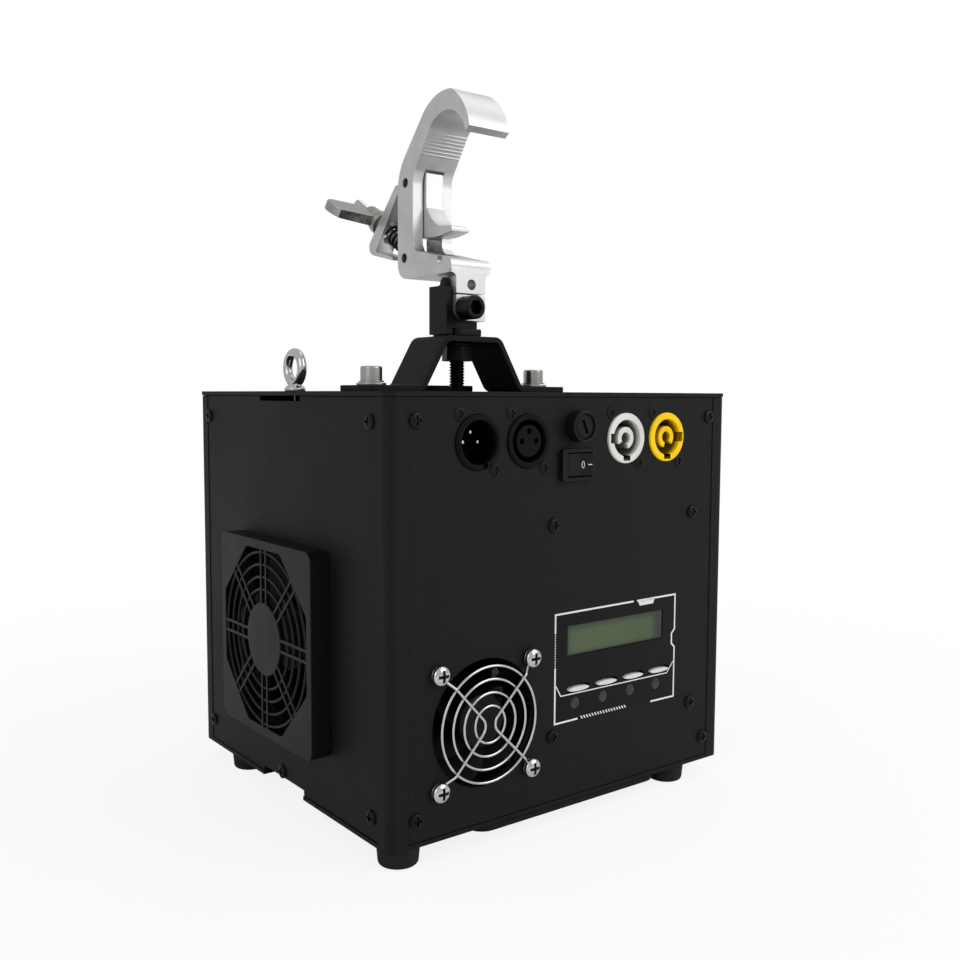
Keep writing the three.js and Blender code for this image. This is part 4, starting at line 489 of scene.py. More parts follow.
def loft(rings, caps=True, loop=False, strips=False):
    """A skin over rings of points, whose ends are capped, or capped with strips, or joined in a loop."""
    shape = bmesh.new()
    rows = [[shape.verts.new(point) for point in ring] for ring in rings]
    for ring in (rows[0], rows[-1]) if caps and not loop else ():
        if strips:
            for step in range(len(ring) // 2 - 1):
                shape.faces.new((ring[step], ring[step + 1], ring[-step - 2], ring[-step - 1]))
        else:
            shape.faces.new(ring)
    for first, second in zip(rows, rows[1:] + rows[:1] if loop else rows[1:]):
        sides = max(len(first), len(second))
        for side in range(sides):
            after = (side + 1) % sides
            corners = [first[side % len(first)], first[after % len(first)]]
            corners += [second[after % len(second)], second[side % len(second)]]
            unique = list(dict.fromkeys(corners))
            if len(unique) > 2:
                shape.faces.new(unique)
    bmesh.ops.recalc_face_normals(shape, faces=shape.faces)
    return shape


def prism(outline, plane, start, end):
    """A solid of one outline in a plane, running between two places on the third axis."""
    return loft([[PLANES[plane](u, v, w) for u, v in outline] for w in (start, end)])


def turned(profile, axis="z", at=(0, 0), sides=64, closed=False, steps=4):
    """A turned solid from radius and place pairs, with a third number where a corner is rounded.

    at gives the other two coordinates of the axis.
    """
    spots = {
        "z": lambda r, c, s, w: (at[0] + r * c, at[1] + r * s, w),
        "y": lambda r, c, s, w: (at[0] + r * c, w, at[1] + r * s),
        "x": lambda r, c, s, w: (w, at[0] + r * c, at[1] + r * s),
    }
    turns = [2 * math.pi * side / sides for side in range(sides)]
    corners = [corner[:2] for corner in profile]
    if any(len(corner) > 2 for corner in profile):
        radii = [corner[2] if len(corner) > 2 else 0 for corner in profile]
        corners = softened(corners, radii, steps, closed)
    rings = []
    for radius, place in corners:
        circle = [(math.cos(turn), math.sin(turn)) for turn in turns] if radius > 1e-6 else [(1, 0)]
        rings.append([spots[axis](radius, c, s, place) for c, s in circle])
    return loft(rings, caps=False, loop=closed)


def post(radius, start, end, edge=0.4, axis="z", at=(0, 0), sides=64):
    """A round bar with softened rims."""
    profile = [(0, start), (radius, start, edge), (radius, end, edge), (0, end)]
    return turned(profile, axis, at, sides, steps=3)


def bore(radius, start, end, axis="z", at=(0, 0), sides=48):
    """The cutter of a round hole."""
    return post(radius, start, end, 0, axis, at, sides)


def collar(outer, inner, start, end, edge=0.3, axis="z", at=(0, 0), sides=64):
    """A round ring with softened rims."""
    profile = [(inner, start, edge), (outer, start, edge), (outer, end, edge), (inner, end, edge)]
    return turned(profile, axis, at, sides, closed=True, steps=3)


def tube(route, radius, sides=12, closed=False):
    """A round wire along a route of points."""
    points = [Vector(point) for point in route]
    count = len(points)
    rings = []
    normal = None
    for index, point in enumerate(points):
        before = points[index - 1] if closed or index else point
        after = points[(index + 1) % count] if closed or index < count - 1 else point
        along = (after - before).normalized()
        if normal is None:
            normal = along.orthogonal().normalized()
        normal = (normal - along * normal.dot(along)).normalized()
        across = along.cross(normal)
        rings.append([point + radius * (c * normal + s * across) for c, s in ring_of(0, 0, 1, sides)])
    return loft(rings, loop=closed)


def thread(radius, depth, pitch, start, end, sides=40):
    """A threaded rod on the Z axis with tapered ends."""
    rows = int((end - start) / pitch * 6)
    rings = []
    for row in range(rows + 1):
        z = start + (end - start) * row / rows
        near_end = min(z - start, end - z) / pitch
        ring = []
        for side, (c, s) in enumerate(ring_of(0, 0, 1, sides)):
            wave = abs(((z / pitch - side / sides) % 1.0) * 2 - 1)
            reach = radius - depth * max(wave, 1 - near_end)
            ring.append((reach * c, reach * s, z))
        rings.append(ring)
    return loft(rings)


def merged(*shapes):
    """Several solids as one mesh, each still closed."""
    whole = bmesh.new()
    for shape in shapes:
        carrier = bpy.data.meshes.new("part")
        shape.to_mesh(carrier)
        whole.from_mesh(carrier)
        bpy.data.meshes.remove(carrier)
    return whole


def moved(shape, matrix):
    shape.transform(matrix)
    return shape


def placed(shape, place=(0, 0, 0), turn=0.0, axis="Z"):
    """Turns a solid about an axis through zero, by degrees, and then moves it to its place."""
    return moved(shape, Matrix.Translation(place) @ Matrix.Rotation(math.radians(turn), 4, axis))


def holder(shape, name="part"):
    """A throwaway object that carries a solid through modifiers."""
    carrier = bpy.data.meshes.new(name)
    shape.to_mesh(carrier)
    obj = bpy.data.objects.new(name, carrier)
    bpy.context.scene.collection.objects.link(obj)
    return obj


def dropped(*objects):
    """Throws helper objects away with their meshes."""
    for obj in objects:
        carrier = obj.data
        bpy.data.objects.remove(obj)
        bpy.data.meshes.remove(carrier)


def result_of(obj, *helpers):
    """The evaluated mesh of a throwaway object, as a solid; the object and its helpers go."""
    bpy.context.view_layer.update()
    depsgraph = bpy.context.evaluated_depsgraph_get()
    plain = bpy.data.meshes.new_from_object(obj.evaluated_get(depsgraph))
    shape = bmesh.new()
    shape.from_mesh(plain)
    bpy.data.meshes.remove(plain)
    dropped(obj, *helpers)
    return shape


def bevel(obj, width, segments, angle):
    """Rounds an object's sharp edges with a modifier."""
    rim = obj.modifiers.new("rim", "BEVEL")
    rim.width = width
    rim.segments = segments
    rim.limit_method = "ANGLE"
    rim.angle_limit = math.radians(angle)
    rim.use_clamp_overlap = True
    return rim


def worked(body, cuts=(), adds=(), edge=0.0, steps=2, angle=38):
    """A solid with others joined to it and cut from it, and its sharp edges rounded."""
    obj = holder(body)
    helpers = []
    for operation, tools in (("UNION", adds), ("DIFFERENCE", cuts)):
        for tool in tools:
            helpers.append(holder(tool))
            modifier = obj.modifiers.new(operation, "BOOLEAN")
            modifier.operation = operation
            modifier.solver = "EXACT"
            modifier.object = helpers[-1]
    if edge:
        bevel(obj, edge, steps, angle).miter_outer = "MITER_ARC"
    return result_of(obj, *helpers)


def add(name, shape, finish, *nodes, body="machine", smooth=32):
    """Places a solid in the row frame with its finish, on its body if it has one, in place of CAD nodes."""
    carrier = bpy.data.meshes.new(name)
    shape.transform(Matrix.Translation(CASE) @ Matrix.Scale(MM, 4))
    shape.to_mesh(carrier)
    shape.free()
    carrier.polygons.foreach_set("use_smooth", [True] * len(carrier.polygons))
    carrier.set_sharp_from_angle(angle=math.radians(smooth))
    carrier.materials.append(finishes()[finish])
    obj = bpy.data.objects.new(name, carrier)
    bpy.context.scene.collection.objects.link(obj)
    if body:
        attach(obj, body)
        obj.modifiers.new("even", "WEIGHTED_NORMAL").keep_sharp = True
    if nodes:
        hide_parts(*nodes)
    return obj


def dress(finish, *names, edge=0.0):
    """Gives carried solids their finish, and rounds their edges if asked."""
    for name in names:
        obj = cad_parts[name]
        obj.data.materials.clear()
        obj.data.materials.append(finishes()[finish])
        if edge:
            flat = obj.modifiers.new("flat", "DECIMATE")
            flat.decimate_type = "DISSOLVE"
            flat.angle_limit = math.radians(0.5)
            bevel(obj, edge, 2, 40)


# Geometry node trees
class Rule(Graph):
    """A geometry tree with named inputs, a material input, and one geometry in and out."""

    def __init__(self, name, **sizes):
        tree = bpy.data.node_groups.new(name, "GeometryNodeTree")
        super().__init__(tree)
        kinds = {"Geometry": "Geometry", **sizes, "Finish": "Material"}
        for label, kind in kinds.items():
            tree.interface.new_socket(label, in_out="INPUT", socket_type=f"NodeSocket{kind}")
        tree.interface.new_socket("Geometry", in_out="OUTPUT", socket_type="NodeSocketGeometry")
        outputs = tree.nodes.new("NodeGroupInput").outputs
        self.given = {label: Term(self, outputs[label]) for label in kinds}

    def circle(self, radius, resolution):
        inputs = {"Resolution": resolution, "Radius": radius}
        return self.node("GeometryNodeCurvePrimitiveCircle", {"mode": "RADIUS"}, inputs)

    def copies(self, points, piece, **turns):
        inputs = {"Points": points, "Instance": piece, **turns}
        return self.node("GeometryNodeInstanceOnPoints", {}, inputs)

    def row(self):
        return self.node("GeometryNodeMeshLine", {}, {"Count": self.given["Count"], "Offset": (0, 0, 0)})

    def real(self, copies):
        return self.node("GeometryNodeRealizeInstances", {}, [copies])

    def wires(self, route, resolution, **ends):
        section = self.circle(self.given["Wire"], resolution)
        return self.node("GeometryNodeCurveToMesh", {}, {"Curve": route, "Profile Curve": section, **ends})

    def close(self, geometry):
        inputs = {"Geometry": self.real(geometry), "Material": self.given["Finish"]}
        self.node("NodeGroupOutput", {}, [self.node("GeometryNodeSetMaterial", {}, inputs)])
        return self.tree


@functools.cache
def scatter_tree():
    """Copies of one piece on the points of a mesh, each turned by the points' own turn."""
    rule = Rule("pieces_on_points", Piece="Object")
    piece = rule.node("GeometryNodeObjectInfo", {}, {"Object": rule.given["Piece"]}, "Geometry")
    turn = rule.node("GeometryNodeInputNamedAttribute", {"data_type": "FLOAT_VECTOR"}, {"Name": "turn"})
    spin = rule.node("FunctionNodeEulerToRotation", {}, [turn])
    return rule.close(rule.copies(rule.given["Geometry"], piece, Rotation=spin))


@functools.cache
def round_tree():
    """Copies of the given piece turned evenly about the Z axis."""
    rule = Rule("copies_round_axis", Count="Int")
    share = rule.sum_of("DIVIDE", rule.node("GeometryNodeInputIndex"), rule.given["Count"])
    turn = rule.node("ShaderNodeCombineXYZ", {}, {"Z": share * (2 * math.pi)})
    spin = rule.node("FunctionNodeEulerToRotation", {}, [turn])
    return rule.close(rule.copies(rule.row(), rule.given["Geometry"], Rotation=spin))


@functools.cache
def ring_tree():
    """Concentric wire rings about the Z axis, evenly wider from one to the next."""
    rule = Rule("wire_rings", Count="Int", First="Float", Step="Float", Wire="Float")
    reach = rule.node("GeometryNodeInputIndex") * rule.given["Step"] + rule.given["First"]
    size = rule.node("ShaderNodeCombineXYZ", {}, [reach, reach, 1.0])
    return rule.close(rule.wires(rule.real(rule.copies(rule.row(), rule.circle(1.0, 96), Scale=size)), 12))


@functools.cache
def coil_tree():
    """A wire wound about the Z axis."""
    rule = Rule("wound_wire", Turns="Float", Radius="Float", Height="Float", Wire="Float")
    radius = rule.given["Radius"]
    inputs = {"Resolution": 32, "Rotations": rule.given["Turns"], "Height": rule.given["Height"]}
    path = rule.node("GeometryNodeCurveSpiral", {}, {**inputs, "Start Radius": radius, "End Radius": radius})
    return rule.close(rule.wires(path, 10, **{"Fill Caps": True}))


def grown(tree, base, finish, **sizes):
    """The solid that a node tree makes from a base mesh and its named inputs."""
    obj = holder(base)
    modifier = obj.modifiers.new("rule", "NODES")
    modifier.node_group = tree
    known = {item.name: item.identifier for item in tree.interface.items_tree if item.in_out == "INPUT"}
    for label, value in {**sizes, "Finish": finishes()[finish]}.items():
        modifier[known[label]] = value
    return result_of(obj)


def on_points(piece, spots, finish):
    """Copies of a piece on places, each with its turn as XYZ angles."""
    sample = holder(piece, "sample")
    points = bpy.data.meshes.new("points")
    points.from_pydata([spot for spot, _ in spots], [], [])
    turns = points.attributes.new("turn", "FLOAT_VECTOR", "POINT")
    for item, (_, turn) in zip(turns.data, spots):
        item.vector = turn
    base = bmesh.new()
    base.from_mesh(points)
    bpy.data.meshes.remove(points)
    shape = grown(scatter_tree(), base, finish, Piece=sample)
    dropped(sample)
    return shape


# Fasteners drawn about the Z axis with the seat at zero and the head upwards
def cross_tool(width, reach, depth, top):
    """The cutter of a cross recess."""
    outline = box_of(0, 0, 2 * reach, width, width * 0.2, 2)
    return [placed(prism(outline, "xy", top - depth, top + 1), turn=turn) for turn in (0, 90)]


def pan_screw(diameter, height, sides=28):
    """A domed screw with a cross recess."""
    radius = diameter / 2
    profile = [(0, -0.6), (radius * 0.6, -0.6), (radius * 0.6, 0), (radius, 0), (radius, height * 0.35)]
    profile += [(radius * u, height * (0.35 + 0.65 * v)) for u, v in arc(0, 0, 1, 0, 90, 6)[1:-1]]
    profile.append((0, height))
    cuts = cross_tool(radius * 0.32, radius * 0.62, height * 0.62, height)
    return worked(turned(profile, sides=sides), cuts)


def sunk_screw(diameter, sides=28):
    """A countersunk screw with a cross recess, nearly flush."""
    radius = diameter / 2
    profile = [(0, -0.6), (radius, -0.6), (radius, 0.15), (radius * 0.93, 0.4)]
    profile += [(radius * 0.6, 0.55), (0, 0.6)]
    return worked(turned(profile, sides=sides), cross_tool(radius * 0.28, radius * 0.55, 0.9, 0.6))


def socket_head(radius, height, key, depth, start=0.0):
    """A cap screw's knurled head with its hexagon hole."""
    top = start + height
    knurl = clamp_size("knurl")
    head = turned([(0, start), (radius, start, 0.3), (radius, top, 0.9), (0, top)], sides=96)
    for vert in head.verts:
        reach = math.hypot(vert.co.x, vert.co.y)
        if reach > radius * 0.97 and 0.08 < (vert.co.z - start) / height < 0.86:
            turn = math.atan2(vert.co.y, vert.co.x)
            grow = 1 - knurl / radius * (0.5 + 0.5 * math.cos(turn * 32))
            vert.co.x *= grow
            vert.co.y *= grow
    return worked(head, [prism(polygon(6, key), "xy", top - depth, top + 1)])


FACING_FRONT = (math.pi / 2, 0, 0)
FACING_LEFT = (0, -math.pi / 2, 0)
FACING_RIGHT = (0, math.pi / 2, 0)
FACING_BACK = (-math.pi / 2, 0, 0)


class Maker(bpy.types.Operator):
    """Builds a piece."""

    bl_options = {"REGISTER", "UNDO"}

    def execute(self, context):
        self.build(context.scene)
        return {"FINISHED"}


class SPARK_OT_case(Maker):
    """Frame, roof, side and rear panels, and the plate under the case"""

    bl_idname = "spark.case"
    bl_label = "Case"

    def build(self, scene):
        edge = case_size("edge")
        carried = ("chassis_frame", "top_plate", "right_panel", "rear_panel", "discharge_plate")
        dress("powder_coat", *carried, edge=edge * MM)
        panel = prism(panel_outline(168.5), "yz", LEFT, LEFT + SHEET)
        cuts = [bore(43, LEFT - 1, LEFT + 3, "x", SIDE_FAN, 96)]
        cuts += [prism(box_of(1.2, z, 41, 4.4), "yz", LEFT - 1, LEFT + 3) for z in (PANEL_LOW, PANEL_HIGH)]
        add("left_side_panel", worked(panel, cuts, edge=edge), "powder_coat", "left_panel")
        folds = []
        for low, high in ((1.8, 5.5), (184.0, 187.6)):
            for side in (-1, 1):
                outlines = [box_of(0, side * 91.2, 168, 1.0)]
                outlines += [box_of(side * 99.3, 1.2 + end * 51, 1.0, 60) for end in (-1, 1)]
                folds += [prism(outline, "xy", low, high) for outline in outlines]
        corners = [box_of(x * 92, y * 84, 17, 17) for x in (-1, 1) for y in (-1, 1)]
        folds += [prism(outline, "xy", 186.9, 187.6) for outline in corners]
        add("case_folds", merged(*folds), "powder_coat")


def panel_outline(width):
    return box_of(0, (PANEL_LOW + PANEL_HIGH) / 2, width, PANEL_HIGH - PANEL_LOW)


class SPARK_OT_front_panel(Maker):
    """Connector panel with its cut-outs and printed lines"""

    bl_idname = "spark.front_panel"
    bl_label = "Front panel"

    def build(self, scene):
        holes = [(x, SOCKET_Z, 12.1) for x in SOCKETS.values()] + [(*FUSE, 6.1), (*FRONT_FAN, 28.2)]
        holes += [(LAMP_X + KEY_STEP * lamp, LAMP_Z, 3.05) for lamp in range(4)]
        outlines = [ring_of(x, z, radius, 96 if radius > 20 else 56) for x, z, radius in holes]
        outlines += [box_of(*SWITCH, 18.4, 12.8), box_of(*WINDOW, 63.4, 14.3, 0.8)]
        outlines += [oval(KEY_X + KEY_STEP * key, 52.7, 15.2, 4.2) for key in range(4)]
        cuts = [prism(outline, "xz", FRONT - 1, FRONT + 3) for outline in outlines]
        rim = [(-12.6, 38), (67, 37.4), (67, 62.6), (64.9, 64.6)]
        rim += [(64.9, 69.6), (67, 71.8), (67, 89.2), (-12.6, 88.6)]
        film = worked(prism(rim, "xz", FRONT - 0.05, FRONT + 0.1), [merged(*cuts[6:])])
        add("display_film", film, "film")
        panel = prism(panel_outline(184.9), "xz", FRONT, FRONT + SHEET)
        panel = worked(panel, cuts, edge=case_size("edge") * 0.7)
        add("connector_panel", panel, "powder_coat", "front_panel")
        self.lines()

    def lines(self):
        """Plain lines round the display, standing a hair over the panel."""
        wide = case_size("line")
        right = [(67.0, 37.3), (67.0, 62.6), (64.9, 64.6), (64.9, 69.6), (67.0, 71.8), (67.0, 89.2)]
        routes = [
            (wide, [(37.6, 89.0), (-12.6, 88.6), (-12.6, 79.9)]),
            (wide, [(-12.6, 64.0), (-12.6, 37.9), (1.6, 38.0)]),
            (wide, [(50.6, 37.4), *right, (40.0, 89.0)]),
            (wide * 0.6, [(-12.4, 56.2), (-9.0, 50.4), (61.9, 50.0), (66.4, 55.2)]),
        ]
        outlines = [strip(route, width) for width, route in routes]
        outlines.append([(40.6, 88.7), (52.2, 88.9), (51.2, 86.5), (41.9, 86.4)])
        shapes = [prism(outline, "xz", FRONT - 0.11, FRONT + 0.1) for outline in outlines]
        dash = prism([(-0.85, 0.7), (-0.1, 0.7), (0.85, -0.7), (0.1, -0.7)], "xz", -0.11, 0.1)
        spots = [((4.2 + 1.78 * step, FRONT, 38.2), (0, 0, 0)) for step in range(17)]
        shapes.append(on_points(dash, spots, "printed"))
        tick = prism(box_of(0, 0, 0.5, 0.7), "xz", -0.11, 0.1)
        spots = [((-12.6, FRONT, 64.9 + 1.18 * step), (0, 0, 0)) for step in range(13)]
        shapes.append(on_points(tick, spots, "printed"))
        add("printed_lines", merged(*shapes), "printed")


class SPARK_OT_screws(Maker):
    """Black screws of the panels and sockets"""

    bl_idname = "spark.screws"
    bl_label = "Panel screws"

    def build(self, scene):
        front = [(-88.7, 177.7), (89.2, 177.5), (-88.7, 11.6), (89.2, 12), (-14.2, 129.8), (78.2, 130)]
        front += [(79, 32.2), (-14, 32.3)]
        left = ((82.0, 176.6), (-79.6, 177), (82.0, 12.7), (-79.6, 11.8), (1.7, 7.4))
        spots = [((x, FRONT, z), FACING_FRONT) for x, z in front]
        spots += [((LEFT, y, z), FACING_LEFT) for y, z in left]
        spots += [((-LEFT, y, z), FACING_RIGHT) for y, z in left]
        spots += [((side * 88.7, -FRONT, z), FACING_BACK) for side in (-1, 1) for z in (12, 177.5)]
        head = pan_screw(case_size("panel_screw"), 1.5)
        add("panel_screws", on_points(head, spots, "black_steel"), "black_steel")
        places = [(x + side * 9.5, FRONT, SOCKET_Z - side * 12) for x in SOCKETS.values() for side in (-1, 1)]
        small = sunk_screw(case_size("socket_screw"))
        spots = [(place, FACING_FRONT) for place in places]
        add("socket_screws", on_points(small, spots, "black_steel"), "black_steel")


class SPARK_OT_feet(Maker):
    """Four tapered rubber feet with their screws"""

    bl_idname = "spark.feet"
    bl_label = "Feet"

    def build(self, scene):
        profile = [(0, -5.5), (3.4, -5.5, 0.2), (3.4, -9, 0.4), (8.6, -9, 1.6), (9.4, -0.25, 0.2), (0, -0.25)]
        for side, x in FOOT_X.items():
            for end, y in FOOT_Y.items():
                name = f"foot_{end}_{side}"
                add(f"rubber_{name}", turned(profile, at=(x, y), steps=5), "rubber", name)
                screw = placed(pan_screw(5.8, 1.8), (x, y, -5.4), 180, "X")
                add(f"screw_{name}", screw, "black_steel")


def socket_ring(x, inner, depth):
    """The round nose of a socket with its well."""
    outer, face, floor = 11.9, SOCKET_FACE, SOCKET_FACE + depth
    behind, back = FRONT + 1.7, floor + 2
    profile = [(outer, behind), (outer, face), (inner, face), (inner, floor), (0, floor), (0, back)]
    profile += [(outer - 0.6, back), (outer - 0.6, behind)]
    profile = softened(profile, [0, 0.7, 0.5, 0.1, 0, 0, 0.1, 0], 4, False)
    return turned([*profile, (outer, behind)], "y", (x, SOCKET_Z), 72)


def socket_flange(x):
    """The plate of a socket behind the panel."""
    plate = prism(box_of(x, SOCKET_Z, 26, 31, 3), "xz", FRONT + BEHIND, FRONT + 3.8)
    return worked(plate, [bore(10.4, FRONT, FRONT + 6, "y", (x, SOCKET_Z), 64)])


def about(shape, x, turn=0):
    """Turns a shape drawn beside a socket's axis about that axis, counter-clockwise from the front."""
    return placed(shape, (x, 0, SOCKET_Z), -turn, "Y")


class SPARK_OT_signal_sockets(Maker):
    """Round signal sockets, one with pins and one with holes"""

    bl_idname = "spark.signal_sockets"
    bl_label = "Signal sockets"

    def build(self, scene):
        face = SOCKET_FACE
        contacts = ((0, 4.3), (-4, 0), (4, 0))
        x = SOCKETS["dmx_in"]
        barrel = collar(10.9, 9.5, face - 0.4, face + 2, 0.35, "y", (x, SOCKET_Z))
        notch = about(prism(box_of(10.9, 0, 3.2, 2.2, 0.5), "xz", face - 2, face + 3), x, -72)
        parts = [worked(socket_ring(x, 9.4, 16.0), [notch], edge=0.12), worked(barrel, [notch])]
        parts.append(socket_flange(x))
        add("signal_inlet", merged(*parts), "black_socket", "dmx_in_socket")
        pin = [(0, face + 6.3), (0.85, face + 6.3, 0.8), (0.85, face + 16.5), (0, face + 16.5)]
        pins = [turned(pin, "y", (x + u, SOCKET_Z + v), 24, steps=5) for u, v in contacts]
        add("signal_inlet_pins", merged(*pins), "bright_steel")
        x = SOCKETS["dmx_out"]
        core = post(7.1, face + 0.5, face + 12.2, 0.5, "y", (x, SOCKET_Z))
        holes = [bore(1.35, face - 1, face + 9, "y", (x + u, SOCKET_Z + v), 24) for u, v in contacts]
        parts = [socket_ring(x, 9.4, 12.0), worked(core, holes, edge=0.15), socket_flange(x)]
        add("signal_outlet", merged(*parts), "black_socket", "dmx_out_socket")


class SPARK_OT_power_sockets(Maker):
    """Round locking power sockets, one light for the outlet and one yellow for the inlet"""

    bl_idname = "spark.power_sockets"
    bl_label = "Power sockets"

    def build(self, scene):
        self.socket("power_out", "white_socket", (180, 270), (212, 290))
        self.socket("power_in", "yellow_plastic", (0, 270), (252, 318))

    def socket(self, key, finish, turns, gap):
        """One socket with its notches at the given turns and the gap in its core, in degrees."""
        x, face = SOCKETS[key], SOCKET_FACE
        notch = box_of(8.6, 0, 4.2, 4.6, 0.4)
        cuts = [about(prism(notch, "xz", face - 1, face + 9), x, turn) for turn in turns]
        body = worked(socket_ring(x, 8.6, 13.0), cuts, edge=0.2)
        hoop = collar(5.3, 2.7, face + 0.9, face + 12.6, 0.35, "y", (x, SOCKET_Z), 64)
        wedge = prism([(0, 0)] + arc(0, 0, 9, *gap, 6), "xz", face - 1, face + 14)
        hoop = worked(hoop, [about(wedge, x)], edge=0.25)
        add(f"{key}_ring", merged(body, hoop, socket_flange(x)), finish, f"{key}_socket")
        blade = box_of(7.9, 0, 0.7, 3.6)
        blades = [about(prism(blade, "xz", face + 5, face + 12.5), x, turn) for turn in (30, 150, 262)]
        add(f"{key}_contacts", merged(*blades), "copper")


class SPARK_OT_fuse(Maker):
    """Fuse holder and its slotted cap"""

    bl_idname = "spark.fuse"
    bl_label = "Fuse"

    def build(self, scene):
        face, back = FRONT - 6.2, FRONT + 27
        shell = [(0, back), (0, face + 14.2), (4.1, face + 14.2), (4.1, face + 4.4), (5.85, face + 4.4)]
        shell += [(5.85, face, 0.35), (7.1, face, 0.8), (7.1, FRONT - GAP, 0.3), (5.9, FRONT - GAP)]
        shell += [(5.9, back, 0.3), (0, back)]
        add("fuse_holder_shell", turned(shell, "y", FUSE, 72), "black_plastic", "fuse_holder")
        cap = [(0, face + 0.5), (5.6, face + 0.5, 0.5), (5.6, face + 4.1, 0.2), (3.8, face + 4.1)]
        cap += [(3.8, face + 13, 0.3), (0, face + 13)]
        slot = placed(prism(box_of(0, 0, 6.8, 1.7, 0.3), "xz", face - 1, face + 1.7), turn=66, axis="Y")
        ring = collar(4.95, 4.6, face - 1, face + 0.72, 0.0, "y")
        cap = placed(worked(turned(cap, "y"), [slot, ring], edge=0.1), (FUSE[0], 0, FUSE[1]))
        add("fuse_cap_slotted", cap, "black_plastic", "fuse_cap", body="fuse_cap_body")


class SPARK_OT_switch(Maker):
    """Rocker switch with its off and on marks"""

    bl_idname = "spark.switch"
    bl_label = "Switch"

    def build(self, scene):
        x, z = SWITCH
        face = FRONT - 2.4
        bezel = prism(box_of(x, z, 20, 14.5, 1.2), "xz", face, FRONT - GAP)
        body = prism(box_of(x, z, 18, 12.4), "xz", FRONT - 0.6, FRONT + 17)
        well = prism(box_of(x + 0.65, z, 15.2, 11.3, 0.4), "xz", face - 1, face + 10)
        add("switch_bezel", worked(bezel, [well], [body], edge=0.35), "black_plastic", "switch_body")
        half, middle, tilt, pivot = 7.0, 0.85, 0.12, 1.6
        valley = half * math.tan(tilt)
        outline = [(middle + half * share / 8, valley * (1 - abs(share) / 8)) for share in range(-8, 9)]
        outline += [(middle + half, 2.4), (4.5, 5.4), (-4.5, 5.4), (middle - half, 2.4)]
        tilted = Matrix.Rotation(-tilt, 4, "Z")
        rest = Matrix.Translation((x, face + pivot, z)) @ tilted @ Matrix.Translation((0, -pivot, 0))
        rocker = moved(worked(prism(outline, "xy", -5.1, 5.1), edge=0.3), rest)
        add("rocker_cap", rocker, "black_plastic", "switch_rocker", body="rocker")
        nought = tube([(0.65 * c, 0, 1.5 * s) for c, s in ring_of(0, 0, 1, 28)], 0.17, 6, True)
        bar = prism(box_of(0, 0, 2.1, 0.4, 0.1, 2), "xz", -0.12, 0.12)
        marks = []
        for shape, u in ((nought, 1.85), (bar, 5.5)):
            place = Matrix.Translation((middle + u, valley * (1 - u / half) - 0.02, 0))
            marks.append(moved(shape, rest @ place @ tilted))
        add("rocker_marks", merged(*marks), "printed", body="rocker")


class SPARK_OT_display(Maker):
    """Display, four push buttons, their lamps and the board behind"""

    bl_idname = "spark.display"
    bl_label = "Display and buttons"

    def build(self, scene):
        glass = prism(box_of(*WINDOW, 62.9, 13.9, 0.7), "xz", FRONT + 0.4, FRONT + 2.0)
        module = prism(box_of(*WINDOW, 69, 19.4), "xz", FRONT + BEHIND, FRONT + 7.8)
        add("display_window", worked(glass, [], [module], edge=0.12), "display_glass", "display_module")
        levels = ((1.0, 3.0), (1.0, -0.45), (0.98, -0.65), (0.9, -0.78), (0.7, -0.86))
        for index, key in enumerate(("menu", "up", "down", "enter")):
            x = KEY_X + KEY_STEP * index
            rims = [
                (oval(x, 52.4, 12.9 - 2.2 * (1 - share), 2.2 * share), FRONT + rise)
                for share, rise in levels
            ]
            cap = loft([[(u, y, v) for u, v in rim] for rim, y in rims])
            add(f"{key}_key_cap", cap, "white_plastic", f"{key}_button", body=f"{key}_key")
            guide = prism(oval(x, 52.5, 16.6, 6.4), "xz", FRONT + BEHIND, FRONT + 3.05)
            add(f"{key}_key_guide", guide, "black_plastic", body=f"{key}_key")
        lens = [(0, FRONT - 0.12), (2.95, FRONT + 0.02, 0.5), (2.95, FRONT + 2), (0, FRONT + 2)]
        lamps = [prism(box_of(27.2, LAMP_Z, 67.5, 5.6), "xz", FRONT + BEHIND, FRONT + 3.2)]
        lamps += [turned(lens, "y", (LAMP_X + KEY_STEP * index, LAMP_Z), 36, steps=5) for index in range(4)]
        add("lamp_lenses", merged(*lamps), "lamp_plastic", "indicator_strip")
        dress("board", "control_board")


def fan_frame(size, depth, radius, pitch, hub):
    """A box fan's frame about Z, open face at zero."""
    mouth = [(0, -1), (radius + 1.6, -1), (radius, 2.2, 1.2), (radius, depth + 1), (0, depth + 1)]
    mouth = turned(mouth, sides=96)
    corners = [(u * pitch / 2, v * pitch / 2) for u in (-1, 1) for v in (-1, 1)]
    cuts = [mouth] + [bore(2.2, -1, depth + 1, at=corner, sides=24) for corner in corners]
    trim = box_of(size / 2 + 3, 0, 9, size - 26, 2)
    cuts += [placed(prism(trim, "xy", depth * 0.22, depth * 0.78), turn=turn) for turn in range(0, 360, 90)]
    ring = worked(prism(box_of(0, 0, size, size, 4), "xy", 0, depth), cuts, edge=0.3)
    seat = depth - 2
    bar = box_of((radius + hub) / 2, 0, radius - hub + 2, 4, 0.8)
    bars = [placed(prism(bar, "xy", seat, depth), turn=turn) for turn in range(45, 405, 90)]
    return merged(ring, *bars, post(hub, seat, depth, 0.3))


